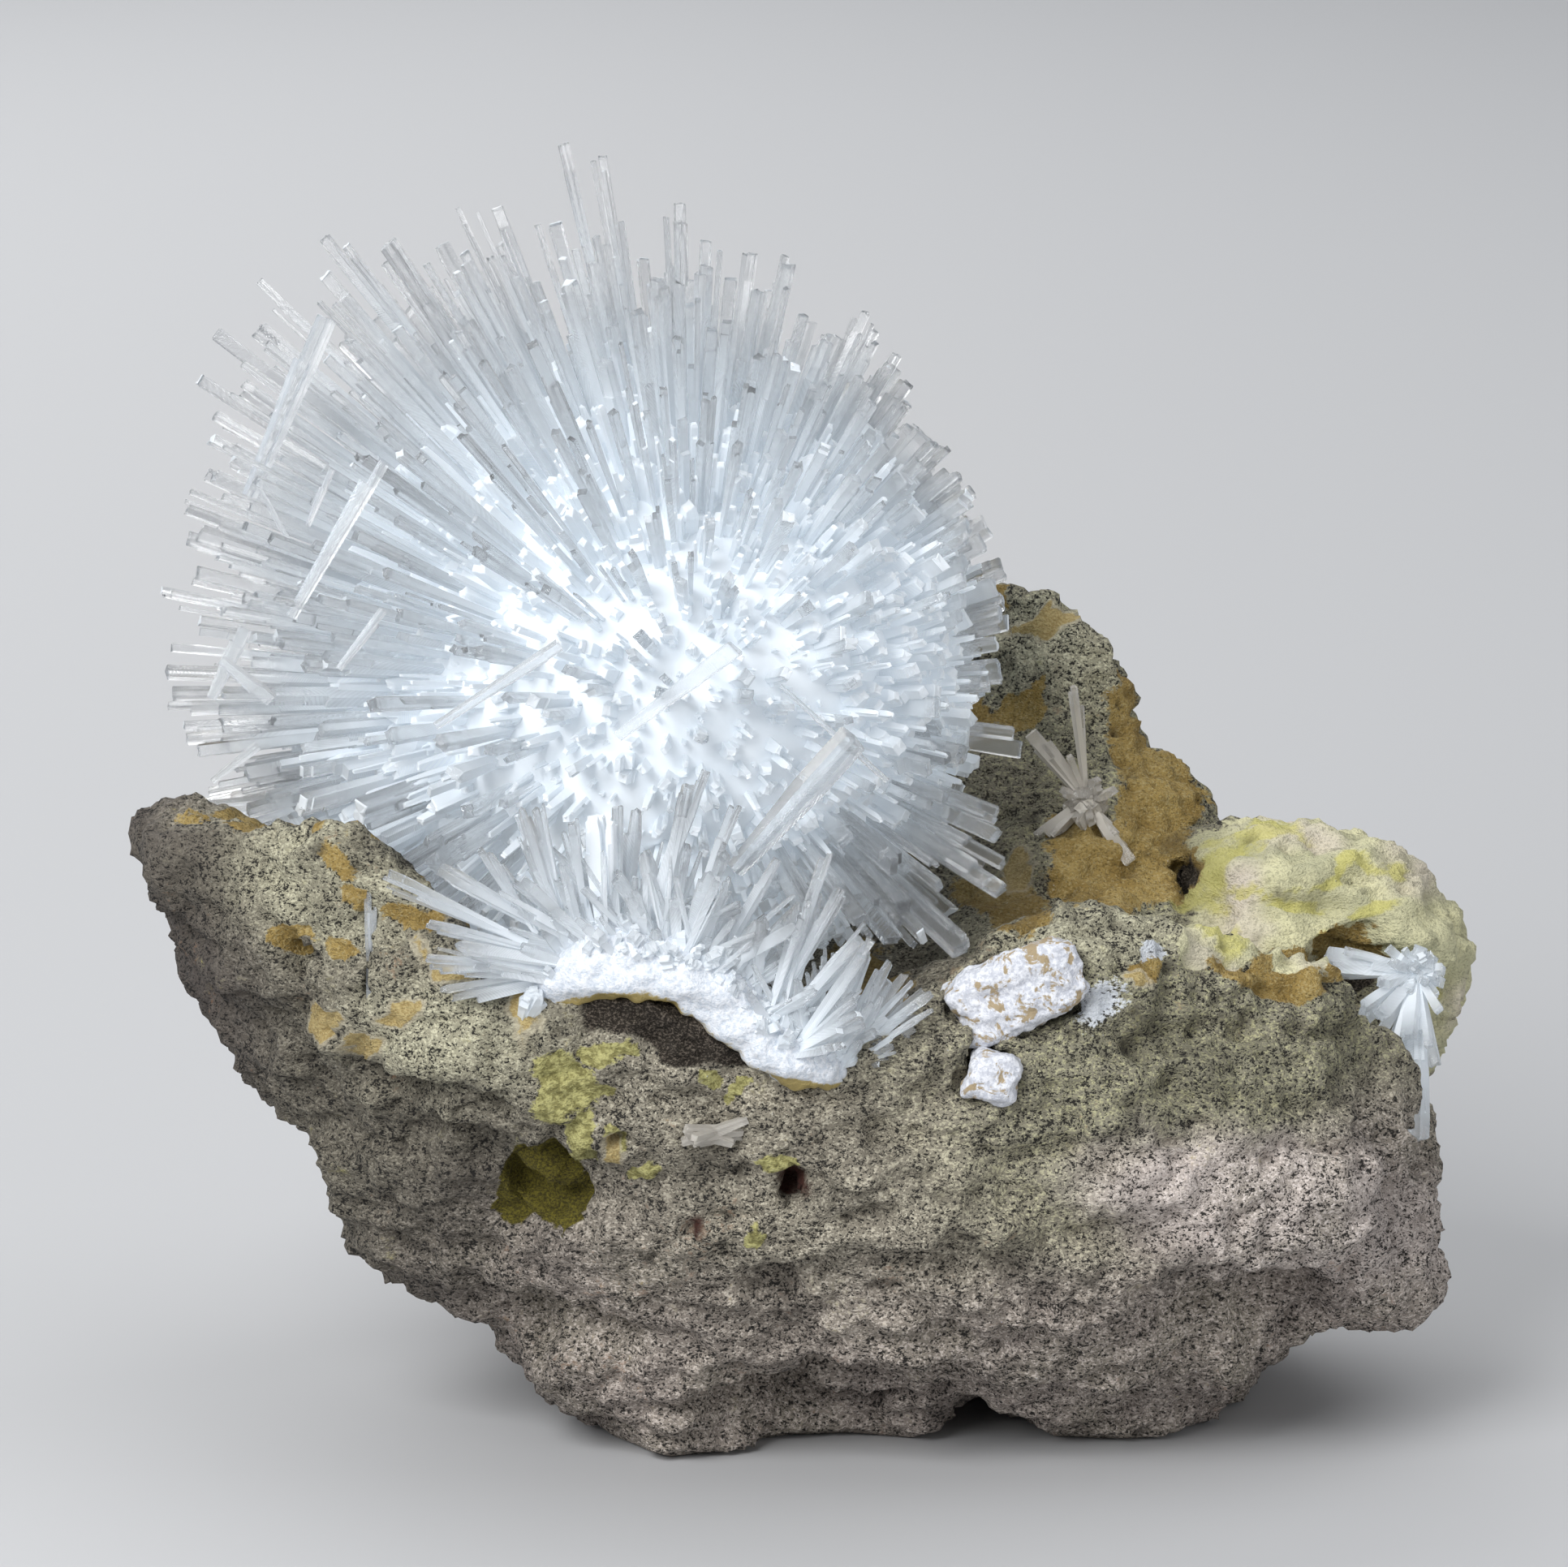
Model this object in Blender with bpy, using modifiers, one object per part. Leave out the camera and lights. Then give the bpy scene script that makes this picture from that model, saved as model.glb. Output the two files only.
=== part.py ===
"""A spray of scolecite crystals grown in a vug of basalt.

The specimen stands on a flat break under the rock, and the origin lies on that break.
+X is to the right, +Y away from the front and +Z up. Tables are in millimetres and are
multiplied by MM where they are used, so every mesh is in metres.
"""

import math
import random
from collections import namedtuple

import bmesh
import bpy
import numpy as np
from mathutils import Matrix, Vector, noise
from mathutils.bvhtree import BVHTree

MM = 0.001
GAP = 0.3 * MM  # left between solids that touch
FRONT_VIEW_TILT = math.radians(12)  # the front view looks down by this much

# The rock as sections across X, from its left end to its right end. Each runs from the
# front of the base up the front wall, over the rim, through the bowl, over the back
# ridge and down to the back of the base, as (y, z).
ROCK_SECTIONS = {
    -58.0: ((-13, 49), (-17, 50.5), (-20, 53), (-21, 55.8), (-19, 57.6), (-13, 57),
            (-8, 56), (-3, 53.5), (2, 51.5), (5, 49), (3, 46.5), (-5, 47)),
    -50.0: ((-10, 34), (-18, 38), (-25, 45), (-28, 53), (-26, 59.5), (-17, 58.5),
            (-6, 54), (6, 50), (15, 48), (19, 43), (16, 36), (4, 32)),
    -38.0: ((-9, 17.5), (-21, 21.5), (-30, 32), (-37, 44), (-34, 60.5), (-25, 55),
            (-12, 46), (4, 46), (18, 48), (27, 45), (27, 31), (12, 17)),
    -25.0: ((-14, 8), (-25, 13), (-32, 25), (-42, 38), (-41, 48.5), (-31, 45),
            (-17, 40), (4, 45.5), (21, 47), (33, 46), (34, 27), (18, 8)),
    -12.0: ((-20, -3), (-31, 10), (-36, 22), (-43, 34), (-44, 46.5), (-34, 44),
            (-17, 39), (5, 46.5), (23, 50), (37, 52), (39, 28), (25, -3)),
    1.0: ((-12, -3), (-30, 10), (-38, 21), (-43, 31), (-43, 39.5), (-34, 39),
          (-17, 39), (5, 47), (24, 54), (36, 60), (41, 32), (28, -3)),
    14.0: ((-12, -3), (-31, 10), (-40, 22), (-42, 36), (-37, 47.5), (-28, 45),
           (-14, 42), (6, 46), (23, 60), (31, 68), (41, 34), (28, -3)),
    26.0: ((-15, -3), (-31, 9), (-40, 22), (-38, 38), (-32, 50.5), (-23, 47),
           (-10, 46), (8, 51), (20, 63), (27, 68.5), (38, 34), (26, -3)),
    38.0: ((-8, -2), (-27, 9), (-37, 20), (-36, 36), (-28, 48), (-20, 46),
           (-8, 45), (6, 46), (17, 50), (24, 50), (33, 30), (22, -2)),
    49.0: ((-8, 12), (-23, 12), (-32, 19), (-32, 32), (-23, 43), (-14, 41),
           (-4, 39), (6, 41), (14, 42), (20, 40), (26, 27), (14, 12)),
    56.0: ((-4, 11), (-17, 11), (-24, 15), (-23, 26), (-16, 35.5), (-7, 34),
           (2, 32), (8, 31), (12, 30), (15, 26), (14, 19), (6, 12)),
    60.0: ((-5, 14), (-11, 13), (-15, 15), (-14, 19), (-10, 22), (-5, 23),
           (0, 22), (4, 21), (6, 19), (7, 17), (5, 15), (1, 14)),
}
STATION_STEPS = 4  # rings between one section and the next
RING_STEPS = 4  # points between one section point and the next
LOBES = (  # lumps at the right end: centre, radii and tilt in the front view
    ((48.6, 9.5, 40.6), (16.0, 13.5, 10.6), -20),
    ((42.0, 13.0, 44.0), (9.0, 10.0, 5.8), 0),
)
LUMP_SIZE, LUMP_HEIGHT = 13 * MM, 1.8 * MM  # broken lumps all over the rock
FOLD_SIZE = Vector((30, 22, 7)) * MM  # long level ledges on its walls
FOLD_HEIGHT = 1.7 * MM
ROCK_GRID = 1.6 * MM
ROCK_FACES_KEPT = 0.05

# Gas holes and hollows in the rock, each a centre and the radii of an ellipsoid.
HOLLOWS = (
    ((-22.4, -36.5, 26.5), (3.9, 4.6, 2.9)),  # open round hole on the left of the front
    ((-44.0, -32.5, 48.8), (2.8, 2.6, 2.2)),  # ochre-lined pit at the upper left
    ((0.7, -41.5, 28.2), (1.5, 2.6, 1.6)),  # small hole in the middle of the front
    ((37.0, 5.0, 47.0), (2.0, 6.0, 2.4)),  # hole where the ridge meets the right lump
    ((54.0, -3.0, 39.6), (6.6, 7.5, 4.8)),  # vug of the side spray
    ((60.0, -15.0, 26.3), (5.0, 12.0, 3.4)),  # notch above the right bulge
    ((20.5, -8.0, 48.5), (5.0, 5.0, 3.2)),  # ochre pocket behind the front rim
    ((-9.0, -48.5, 42.0), (10.5, 6.0, 3.4)),  # dark hollow under the lip of crust
    ((40.0, -38.0, 15.0), (9.0, 6.0, 4.6)),  # shadowed hollow under the right bulge
    ((18.5, -34.0, -4.0), (7.4, 33.0, 10.5)),  # arch between the two front feet
)

# The ball of crystals: they radiate from one root and end near a round envelope.
BALL_ROOT = Vector((-8.7, 4.0, 65.0)) * MM
ENVELOPE_SHIFT = Vector((-9.5, -3.0, 6.0)) * MM
ENVELOPE_RADIUS = 38.4 * MM
CORE_SHARE = 0.7  # of the way to the envelope, where the packed needles part
BALL_CRYSTALS = 200  # directions spread evenly over the whole ball
BALL_WIDTHS = (1.9 * MM, 3.1 * MM)
BALL_REACHES = (0.82, 1.02)  # shares of the way to the envelope
# Longer single crystals: angle in the front view from +X, lean to the front, reach, width.
LONG_CRYSTALS = (
    (102.6, 0, 52.4, 1.1), (99.5, 5, 50.5, 1.2), (92, -6, 46.0, 1.1), (116.4, 0, 50.0, 1.3),
    (120, 9, 48.0, 1.7), (128, 4, 54.2, 1.3), (132.7, 10, 52.0, 1.8), (136.9, -5, 56.0, 1.1),
    (144.9, 4, 55.2, 1.7), (148.8, -2, 54.3, 1.4), (156.6, 2, 49.2, 1.6), (161, 8, 48.2, 1.8),
    (169.8, 0, 50.0, 1.1), (192.3, -4, 48.4, 1.4), (185, 6, 43.2, 1.6), (190.4, 10, 43.4, 2.3),
    (65.3, 0, 39.0, 1.1), (60, 5, 37.0, 1.5), (47, 0, 31.3, 2.0), (36.6, 3, 31.5, 1.7),
    (12.1, 4, 30.3, 2.2), (3.5, 6, 29.0, 2.0), (-22, 14, 31.5, 1.9), (-29, 10, 33.6, 1.4),
    (-41, 16, 33.0, 2.2), (203, 20, 35.0, 2.2), (213, 20, 32.0, 1.8), (78, 4, 41.0, 1.6),
)
# Broken crystals caught across the others: centre, angle, lean, length and width. Each
# has a crystal of the ball running out to its middle, which holds it.
CROSSING_CRYSTALS = (
    ((-45.4, -6.0, 94.0), 67, 5, 18.0, 1.9),
    ((-9.6, -36.5, 73.6), 37, 4, 13.4, 1.7),
    ((-25.6, -33.0, 73.4), 33, 0, 13.5, 1.2),
    ((1.0, -38.0, 63.6), 48, 8, 16.4, 2.2),
    ((-50.6, -4.0, 69.5), 65, 0, 7.2, 1.5),
    ((-40.4, -14.0, 83.0), 60, 4, 16.5, 1.3),
)

# The front spray: a white crust along the lip of the vug, with two fans on it.
CRUST_LINE = (  # x, y, z and half thickness
    (-20.5, -41.0, 47.5, 2.0), (-15.0, -42.5, 50.0, 3.0), (-9.0, -43.0, 48.8, 2.8),
    (-3.5, -43.2, 44.8, 2.3), (0.7, -43.0, 41.2, 2.6), (4.0, -41.5, 40.2, 1.8),
)
# Each fan: root, number of crystals, angles swept in the front view, reaches and widths.
FANS = (
    ((-14.7, -42.0, 49.5), 30, (2, 182), (11, 19), (1.3, 2.4)),
    ((0.9, -42.6, 41.0), 20, (8, 132), (9, 17), (1.2, 2.2)),
)
FAN_LEANS = (-22, 26)  # degrees back into the vug and out to the front

# The side spray: it hangs out of the small vug at the right end.
SIDE_ROOT = (58.6, -0.5, 39.6)
SIDE_BOSS = 2.3
SIDE_CRYSTALS = (  # angle, lean, reach and width
    (172, 14, 9.2, 2.2), (166, 26, 8.0, 1.6), (214, 28, 7.2, 2.0), (228, 34, 6.6, 1.8),
    (268, 12, 16.0, 2.2), (255, 30, 10.0, 1.8), (280, 10, 9.0, 1.6), (140, 40, 4.6, 1.4),
)

# The ridge spray: a small glassy knot on the front of the back ridge, with six arms.
RIDGE_ROOT = (28.2, 9.0, 53.8)
RIDGE_BOSS = 1.9
RIDGE_CRYSTALS = (
    (131, 10, 8.6, 1.6), (112, 24, 5.2, 1.0), (98, 30, 12.6, 1.0), (220, 12, 6.0, 1.6),
    (306, 20, 7.6, 1.7), (20, 40, 3.4, 1.5),
)

# Lone crystals on the front wall: foot as x and height in the front view, angle, lean,
# length, width and how deep the foot is set.
LONE_CRYSTALS = {
    "leaning_crystal": ((-37.1, 35.4), 91, 6, 11.6, 1.4, 0.5),
    "stub_crystal_centre": ((-4.2, 24.6), 176, 20, 4.9, 2.3, 0.9),
    "stub_crystal_left": ((-23.0, 34.9), 70, 40, 2.9, 2.0, 0.9),
}

# Chalky white crusts on the front wall: middle as x and height in the front view, radii
# and tilt there.
CHALKY_CRUSTS = {
    "chalky_crust_upper": ((21.0, 37.4), (6.3, 2.6, 3.6), 24),
    "chalky_crust_lower": ((18.8, 29.8), (2.5, 2.4, 2.5), -12),
}
CHALK_RELIEF = 0.16  # share of the radius

COLOURS = {  # base colour, roughness and transmission
    "basalt": ((0.30, 0.27, 0.23), 0.95, 0.0),
    "scolecite": ((0.90, 0.94, 0.98), 0.08, 0.8),
    "chalk": ((0.90, 0.89, 0.87), 0.9, 0.0),
}

Prism = namedtuple("Prism", "root direction start end width turn")


def clear_scene():
    for obj in list(bpy.data.objects):
        bpy.data.objects.remove(obj)


def new_collection(name):
    collection = bpy.data.collections.new(name)
    bpy.context.scene.collection.children.link(collection)
    return collection


def finish_of(name):
    """The material of that name in COLOURS."""
    colour, roughness, transmission = COLOURS[name]
    material = bpy.data.materials.get(name)
    if material is None:
        material = bpy.data.materials.new(name)
        material.use_nodes = True
        shader = material.node_tree.nodes["Principled BSDF"]
        shader.inputs["Base Color"].default_value = (*colour, 1)
        shader.inputs["Roughness"].default_value = roughness
        shader.inputs["Transmission Weight"].default_value = transmission
    return material


def object_from(bm, name, origin, collection, finish=None):
    """Makes an object of a bmesh in world places, with its origin where it is asked for."""
    bmesh.ops.recalc_face_normals(bm, faces=bm.faces)
    mesh = bpy.data.meshes.new(name)
    bm.to_mesh(mesh)
    bm.free()
    mesh.transform(Matrix.Translation(-origin))
    obj = bpy.data.objects.new(name, mesh)
    obj.location = origin
    collection.objects.link(obj)
    if finish:
        mesh.materials.append(finish_of(finish))
    else:
        obj.hide_render = True
        obj.display_type = "WIRE"
    return obj


def boolean(obj, other, operation, use_self=False):
    modifier = obj.modifiers.new(f"{operation.lower()}_{other.name}", "BOOLEAN")
    modifier.operation = operation
    modifier.object = other
    modifier.use_self = use_self


def evaluated_bmesh(obj):
    """The object's mesh after its modifiers, in world places."""
    bpy.context.view_layer.update()
    evaluated = obj.evaluated_get(bpy.context.evaluated_depsgraph_get())
    bm = bmesh.new()
    bm.from_mesh(evaluated.to_mesh())
    bm.transform(evaluated.matrix_world)
    evaluated.to_mesh_clear()
    return bm


def tree_of(obj):
    bm = evaluated_bmesh(obj)
    tree = BVHTree.FromBMesh(bm)
    bm.free()
    return tree


def smooth_through(points, steps, closed):
    """The Catmull-Rom curve through points[0], points[1], ..., with steps points a span."""
    count = len(points)
    spans = count if closed else count - 1
    t = np.arange(steps).reshape(-1, *[1] * (points.ndim - 1)) / steps
    rows = []
    for i in range(spans):
        near = [i + k for k in (-1, 0, 1, 2)]
        near = [k % count if closed else min(max(k, 0), count - 1) for k in near]
        a, b, c, d = (points[k] for k in near)
        rows.append(
            b + 0.5 * t * (c - a)
            + t**2 * (a - 2.5 * b + 2 * c - 0.5 * d)
            + t**3 * (1.5 * (b - c) + 0.5 * (d - a))
        )
    if not closed:
        rows.append(points[-1:])
    return np.concatenate(rows)


def seen_from_front(angle, lean):
    """The direction that the front view shows at this angle from +X, leaning to the front."""
    angle, lean = math.radians(angle), math.radians(lean)
    up = Vector((0, math.sin(FRONT_VIEW_TILT), math.cos(FRONT_VIEW_TILT)))
    front = Vector((0, -math.cos(FRONT_VIEW_TILT), math.sin(FRONT_VIEW_TILT)))
    across = Vector((1, 0, 0)) * math.cos(angle) + up * math.sin(angle)
    return across * math.cos(lean) + front * math.sin(lean)


def add_prism(bm, prism, grow=0.0):
    """Adds a four-sided crystal with a slanted tip; grow is a clearance on every side."""
    length = prism.end - prism.start + 2 * grow
    middle = prism.root + prism.direction * (prism.start + prism.end) / 2
    turn = prism.direction.to_track_quat("Z", "Y").to_matrix().to_4x4()
    turn = turn @ Matrix.Rotation(prism.turn, 4, "Z")
    half_diagonal = (prism.width / 2 + grow) * math.sqrt(2)
    made = bmesh.ops.create_cone(
        bm, cap_ends=True, segments=4, radius1=half_diagonal, radius2=half_diagonal * 0.88,
        depth=length, matrix=Matrix.Translation(middle) @ turn,
    )
    side = turn.to_3x3() @ Vector((1, 0, 0))
    for vert in made["verts"]:
        if (vert.co - middle).dot(prism.direction) > 0:
            vert.co += prism.direction * 0.3 * (vert.co - middle).dot(side)


def prisms_bmesh(prisms, grow=0.0):
    bm = bmesh.new()
    for prism in prisms:
        add_prism(bm, prism, grow)
    return bm


def prism_touches(prism, trees):
    """Whether the crystal, with its clearance, meets any tree or starts behind one."""
    bm = prisms_bmesh([prism], GAP * 1.5)
    own = BVHTree.FromBMesh(bm)
    bm.free()
    reach = prism.end + prism.width
    return any(
        own.overlap(tree) or tree.ray_cast(prism.root, prism.direction, reach)[0]
        for tree in trees
    )


def longest_clear(prism, trees, shares=(1.0, 0.88, 0.76, 0.64)):
    """The crystal at the largest share of its length that is clear of the trees, or None."""
    for share in shares:
        shorter = prism._replace(end=prism.start + (prism.end - prism.start) * share)
        if not prism_touches(shorter, trees):
            return shorter
    return None


def rock_relief(point):
    """How far the rock stands out at a point: lumps alike all ways, and long level folds."""
    lumps = noise.fractal(point / LUMP_SIZE, 0.8, 2.1, 3)
    stretched = Vector(a / b for a, b in zip(point, FOLD_SIZE))
    folds = noise.fractal(stretched + Vector((5, 3, 1)), 1.0, 2.0, 2)
    return lumps * LUMP_HEIGHT + folds * FOLD_HEIGHT


def roughen(bm):
    bmesh.ops.recalc_face_normals(bm, faces=bm.faces)
    bm.normal_update()
    moves = [vert.normal * rock_relief(vert.co) for vert in bm.verts]
    for vert, move in zip(bm.verts, moves):
        vert.co += move


def rock_block():
    """The loft through ROCK_SECTIONS, closed at both ends."""
    rings = np.array([
        [(x, y, z) for y, z in section] for x, section in ROCK_SECTIONS.items()
    ]) * MM
    rings = smooth_through(rings, STATION_STEPS, closed=False)
    rings = smooth_through(rings.swapaxes(0, 1), RING_STEPS, closed=True).swapaxes(0, 1)
    bm = bmesh.new()
    rows = [[bm.verts.new(point) for point in ring] for ring in rings]
    for low, high in zip(rows, rows[1:]):
        for k in range(len(low)):
            n = (k + 1) % len(low)
            bm.faces.new((low[k], low[n], high[n], high[k]))
    for end in (rows[0], rows[-1]):
        cap = bm.faces.new(end)
        bmesh.ops.poke(bm, faces=[cap])
    return bm


def ellipsoid(centre, radii, grow=0.0, detail=(12, 7)):
    """A uv sphere scaled to those radii, in millimetres, about that centre."""
    bm = bmesh.new()
    scale = Matrix.Diagonal([r * MM + grow for r in radii]).to_4x4()
    place = Matrix.Translation(Vector(centre) * MM) @ scale
    bmesh.ops.create_uvsphere(
        bm, u_segments=detail[0], v_segments=detail[1], radius=1, matrix=place
    )
    return bm


def make_rock(nodes, cutters):
    """The basalt: a lofted block with lobes at its right end, hollowed by gas holes."""
    bm = rock_block()
    for centre, radii, tilt in LOBES:
        turn = Matrix.Rotation(-math.radians(tilt), 4, "Y")
        scale = Matrix.Diagonal(Vector(radii) * MM).to_4x4()
        place = Matrix.Translation(Vector(centre) * MM) @ turn @ scale
        bmesh.ops.create_icosphere(bm, subdivisions=3, radius=1, matrix=place)
    form = object_from(bm, "rock_form", Vector(), cutters)
    fuse = form.modifiers.new("fused", "REMESH")
    fuse.mode = "VOXEL"
    fuse.voxel_size = ROCK_GRID
    bm = evaluated_bmesh(form)
    roughen(bm)
    rock = object_from(bm, "basalt_matrix", Vector(), nodes, "basalt")
    thin = rock.modifiers.new("fewer_faces", "DECIMATE")
    thin.ratio = ROCK_FACES_KEPT
    for number, (centre, radii) in enumerate(HOLLOWS):
        hollow = object_from(
            ellipsoid(centre, radii), f"hollow_{number}", Vector(centre) * MM, cutters
        )
        boolean(rock, hollow, "DIFFERENCE")
    return rock


def cut_base(rock, cutters):
    """Cuts the rock flat at the height of the origin, where it was broken off."""
    bm = bmesh.new()
    depth = 40 * MM
    size = Matrix.Diagonal((200 * MM, 200 * MM, depth)).to_4x4()
    bmesh.ops.create_cube(
        bm, size=1, matrix=Matrix.Translation((0, 0, -depth / 2)) @ size
    )
    base = object_from(bm, "base_cut", Vector(), cutters)
    boolean(rock, base, "DIFFERENCE")


def envelope_reach(direction):
    """How far the ball reaches from its root in a direction: out to a shifted sphere."""
    along = direction.dot(ENVELOPE_SHIFT)
    square = along**2 - ENVELOPE_SHIFT.length_squared + ENVELOPE_RADIUS**2
    return along + math.sqrt(square)


def core_bmesh(grow=0.0):
    """The packed heart of the ball, an icosphere drawn out towards the envelope."""
    bm = bmesh.new()
    bmesh.ops.create_icosphere(bm, subdivisions=3, radius=1)
    for vert in bm.verts:
        direction = vert.co.normalized()
        vert.co = BALL_ROOT + direction * (envelope_reach(direction) * CORE_SHARE + grow)
    return bm


def even_directions(count):
    """Directions spread evenly over a sphere on a golden spiral."""
    golden = math.pi * (3 - math.sqrt(5))
    for i in range(count):
        z = 1 - (2 * i + 1) / count
        side = math.sqrt(1 - z * z)
        yield Vector((side * math.cos(golden * i), side * math.sin(golden * i), z))


def ball_prisms(rock_tree):
    """The crystals of the ball that stand clear of the rock, and those across them."""
    rng = random.Random(11)
    wanted = []
    for direction in even_directions(BALL_CRYSTALS):
        jitter = Vector(rng.uniform(-0.05, 0.05) for _ in range(3))
        direction = (direction + jitter).normalized()
        reach = envelope_reach(direction) * rng.uniform(*BALL_REACHES)
        wanted.append((direction, reach, rng.uniform(*BALL_WIDTHS), rng.uniform(0, 1.5)))
    for angle, lean, reach, width in LONG_CRYSTALS:
        wanted.append((seen_from_front(angle, lean), reach * MM, width * MM, 0.4))
    prisms = []
    for direction, reach, width, turn in wanted:
        core = envelope_reach(direction) * CORE_SHARE
        out = Prism(BALL_ROOT, direction, core * 0.97, reach, width, turn)
        out = longest_clear(out, [rock_tree])
        if out:
            prisms.append(out._replace(start=core * 0.85))
    for centre, angle, lean, length, width in CROSSING_CRYSTALS:
        centre = Vector(centre) * MM
        across = seen_from_front(angle, lean)
        length, width = length * MM, width * MM
        prisms.append(Prism(centre, across, -length / 2, length / 2, width, 0.2))
        out = centre - BALL_ROOT
        direction = out.normalized()
        core = envelope_reach(direction) * CORE_SHARE
        prisms.append(Prism(BALL_ROOT, direction, core * 0.85, out.length, width, 0.6))
    return prisms


def make_spray(name, body, prisms, origin, nodes, cutters):
    """One solid of a body and the crystals that grow from it."""
    spray = object_from(body, name, origin, nodes, "scolecite")
    crystals = object_from(prisms_bmesh(prisms), f"{name}_crystals", origin, cutters)
    boolean(spray, crystals, "UNION", use_self=True)
    return spray


def crust_bmesh(grow=0.0):
    """The band of crust along the lip: a bevelled curve whose thickness varies."""
    curve = bpy.data.curves.new("crust_line", "CURVE")
    curve.dimensions = "3D"
    curve.bevel_depth = 1.0
    curve.bevel_resolution = 1
    curve.use_fill_caps = True
    curve.resolution_u = 3
    spline = curve.splines.new("BEZIER")
    spline.bezier_points.add(len(CRUST_LINE) - 1)
    for point, (x, y, z, half) in zip(spline.bezier_points, CRUST_LINE):
        point.co = Vector((x, y, z)) * MM
        point.radius = half * MM + grow
        point.handle_left_type = point.handle_right_type = "AUTO"
    obj = bpy.data.objects.new("crust_line", curve)
    bpy.context.scene.collection.objects.link(obj)
    bm = evaluated_bmesh(obj)
    bmesh.ops.remove_doubles(bm, verts=bm.verts, dist=0.01 * MM)
    bpy.data.objects.remove(obj)
    return bm


def fan_prisms(trees):
    """The crystals of the two fans that stand clear of the rock and of the ball."""
    rng = random.Random(5)
    prisms = []
    for root, count, (low, high), reaches, widths in FANS:
        for i in range(count):
            angle = low + (high - low) * (i + rng.uniform(0.1, 0.9)) / count
            direction = seen_from_front(angle, rng.uniform(*FAN_LEANS))
            out = Prism(
                Vector(root) * MM, direction, 2.6 * MM, rng.uniform(*reaches) * MM,
                rng.uniform(*widths) * MM, rng.uniform(0, 1.5),
            )
            out = longest_clear(out, trees)
            if out:
                prisms.append(out._replace(start=0.6 * MM))
    return prisms


def knot_prisms(root, table, start):
    root = Vector(root) * MM
    return [
        Prism(root, seen_from_front(angle, lean), start * MM, reach * MM, width * MM, 0.5)
        for angle, lean, reach, width in table
    ]


def make_knot(name, root, boss, table, nodes, cutters):
    """A small spray: crystals radiating from a rounded boss. Also returns its socket."""
    detail = (10, 6)
    prisms = knot_prisms(root, table, boss * 0.3)
    origin = Vector(root) * MM
    make_spray(name, ellipsoid(root, [boss] * 3, 0, detail), prisms, origin, nodes, cutters)
    socket = object_from(
        ellipsoid(root, [boss] * 3, GAP, detail), f"{name}_socket", origin, cutters
    )
    arms = object_from(prisms_bmesh(prisms, GAP), f"{name}_arm_sockets", origin, cutters)
    return [socket, arms]


def on_rock(rock_tree, place):
    """The point of the rock that the front view shows at this x and height."""
    front, up = seen_from_front(0, 90), seen_from_front(90, 0)
    start = Vector((place[0] * MM, 0, 0)) + up * place[1] * MM + front * 200 * MM
    return rock_tree.ray_cast(start, -front)[0]


def make_lone_crystal(name, rock_tree, nodes, cutters):
    place, angle, lean, length, width, depth = LONE_CRYSTALS[name]
    origin = on_rock(rock_tree, place) + seen_from_front(0, 90) * (width / 2 - depth) * MM
    direction = seen_from_front(angle, lean)
    prism = Prism(origin, direction, 0.0, length * MM, width * MM, 0.7)
    object_from(prisms_bmesh([prism]), name, origin, nodes, "scolecite")
    return object_from(prisms_bmesh([prism], GAP), f"{name}_socket", origin, cutters)


def chalk_bmesh(name, middle, grow=0.0):
    """A lumpy block of chalky crust with rounded edges, tilted in the front view."""
    place, radii, tilt = CHALKY_CRUSTS[name]
    bm = bmesh.new()
    bmesh.ops.create_icosphere(bm, subdivisions=2, radius=1)
    turn = Matrix.Rotation(-math.radians(tilt), 3, "Y")
    for vert in bm.verts:
        direction = vert.co.copy()
        square = sum(d**4 for d in direction) ** 0.25
        across = Vector(d * r * MM for d, r in zip(direction, radii)) / square
        out = 1 + CHALK_RELIEF * noise.fractal(direction * 1.9 + Vector(radii), 0.8, 2.0, 2)
        vert.co = middle + turn @ (across * out + direction * grow)
    return bm


def make_chalk(name, rock_tree, nodes, cutters):
    middle = on_rock(rock_tree, CHALKY_CRUSTS[name][0])
    object_from(chalk_bmesh(name, middle), name, middle, nodes, "chalk")
    return object_from(chalk_bmesh(name, middle, GAP), f"{name}_socket", middle, cutters)


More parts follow.
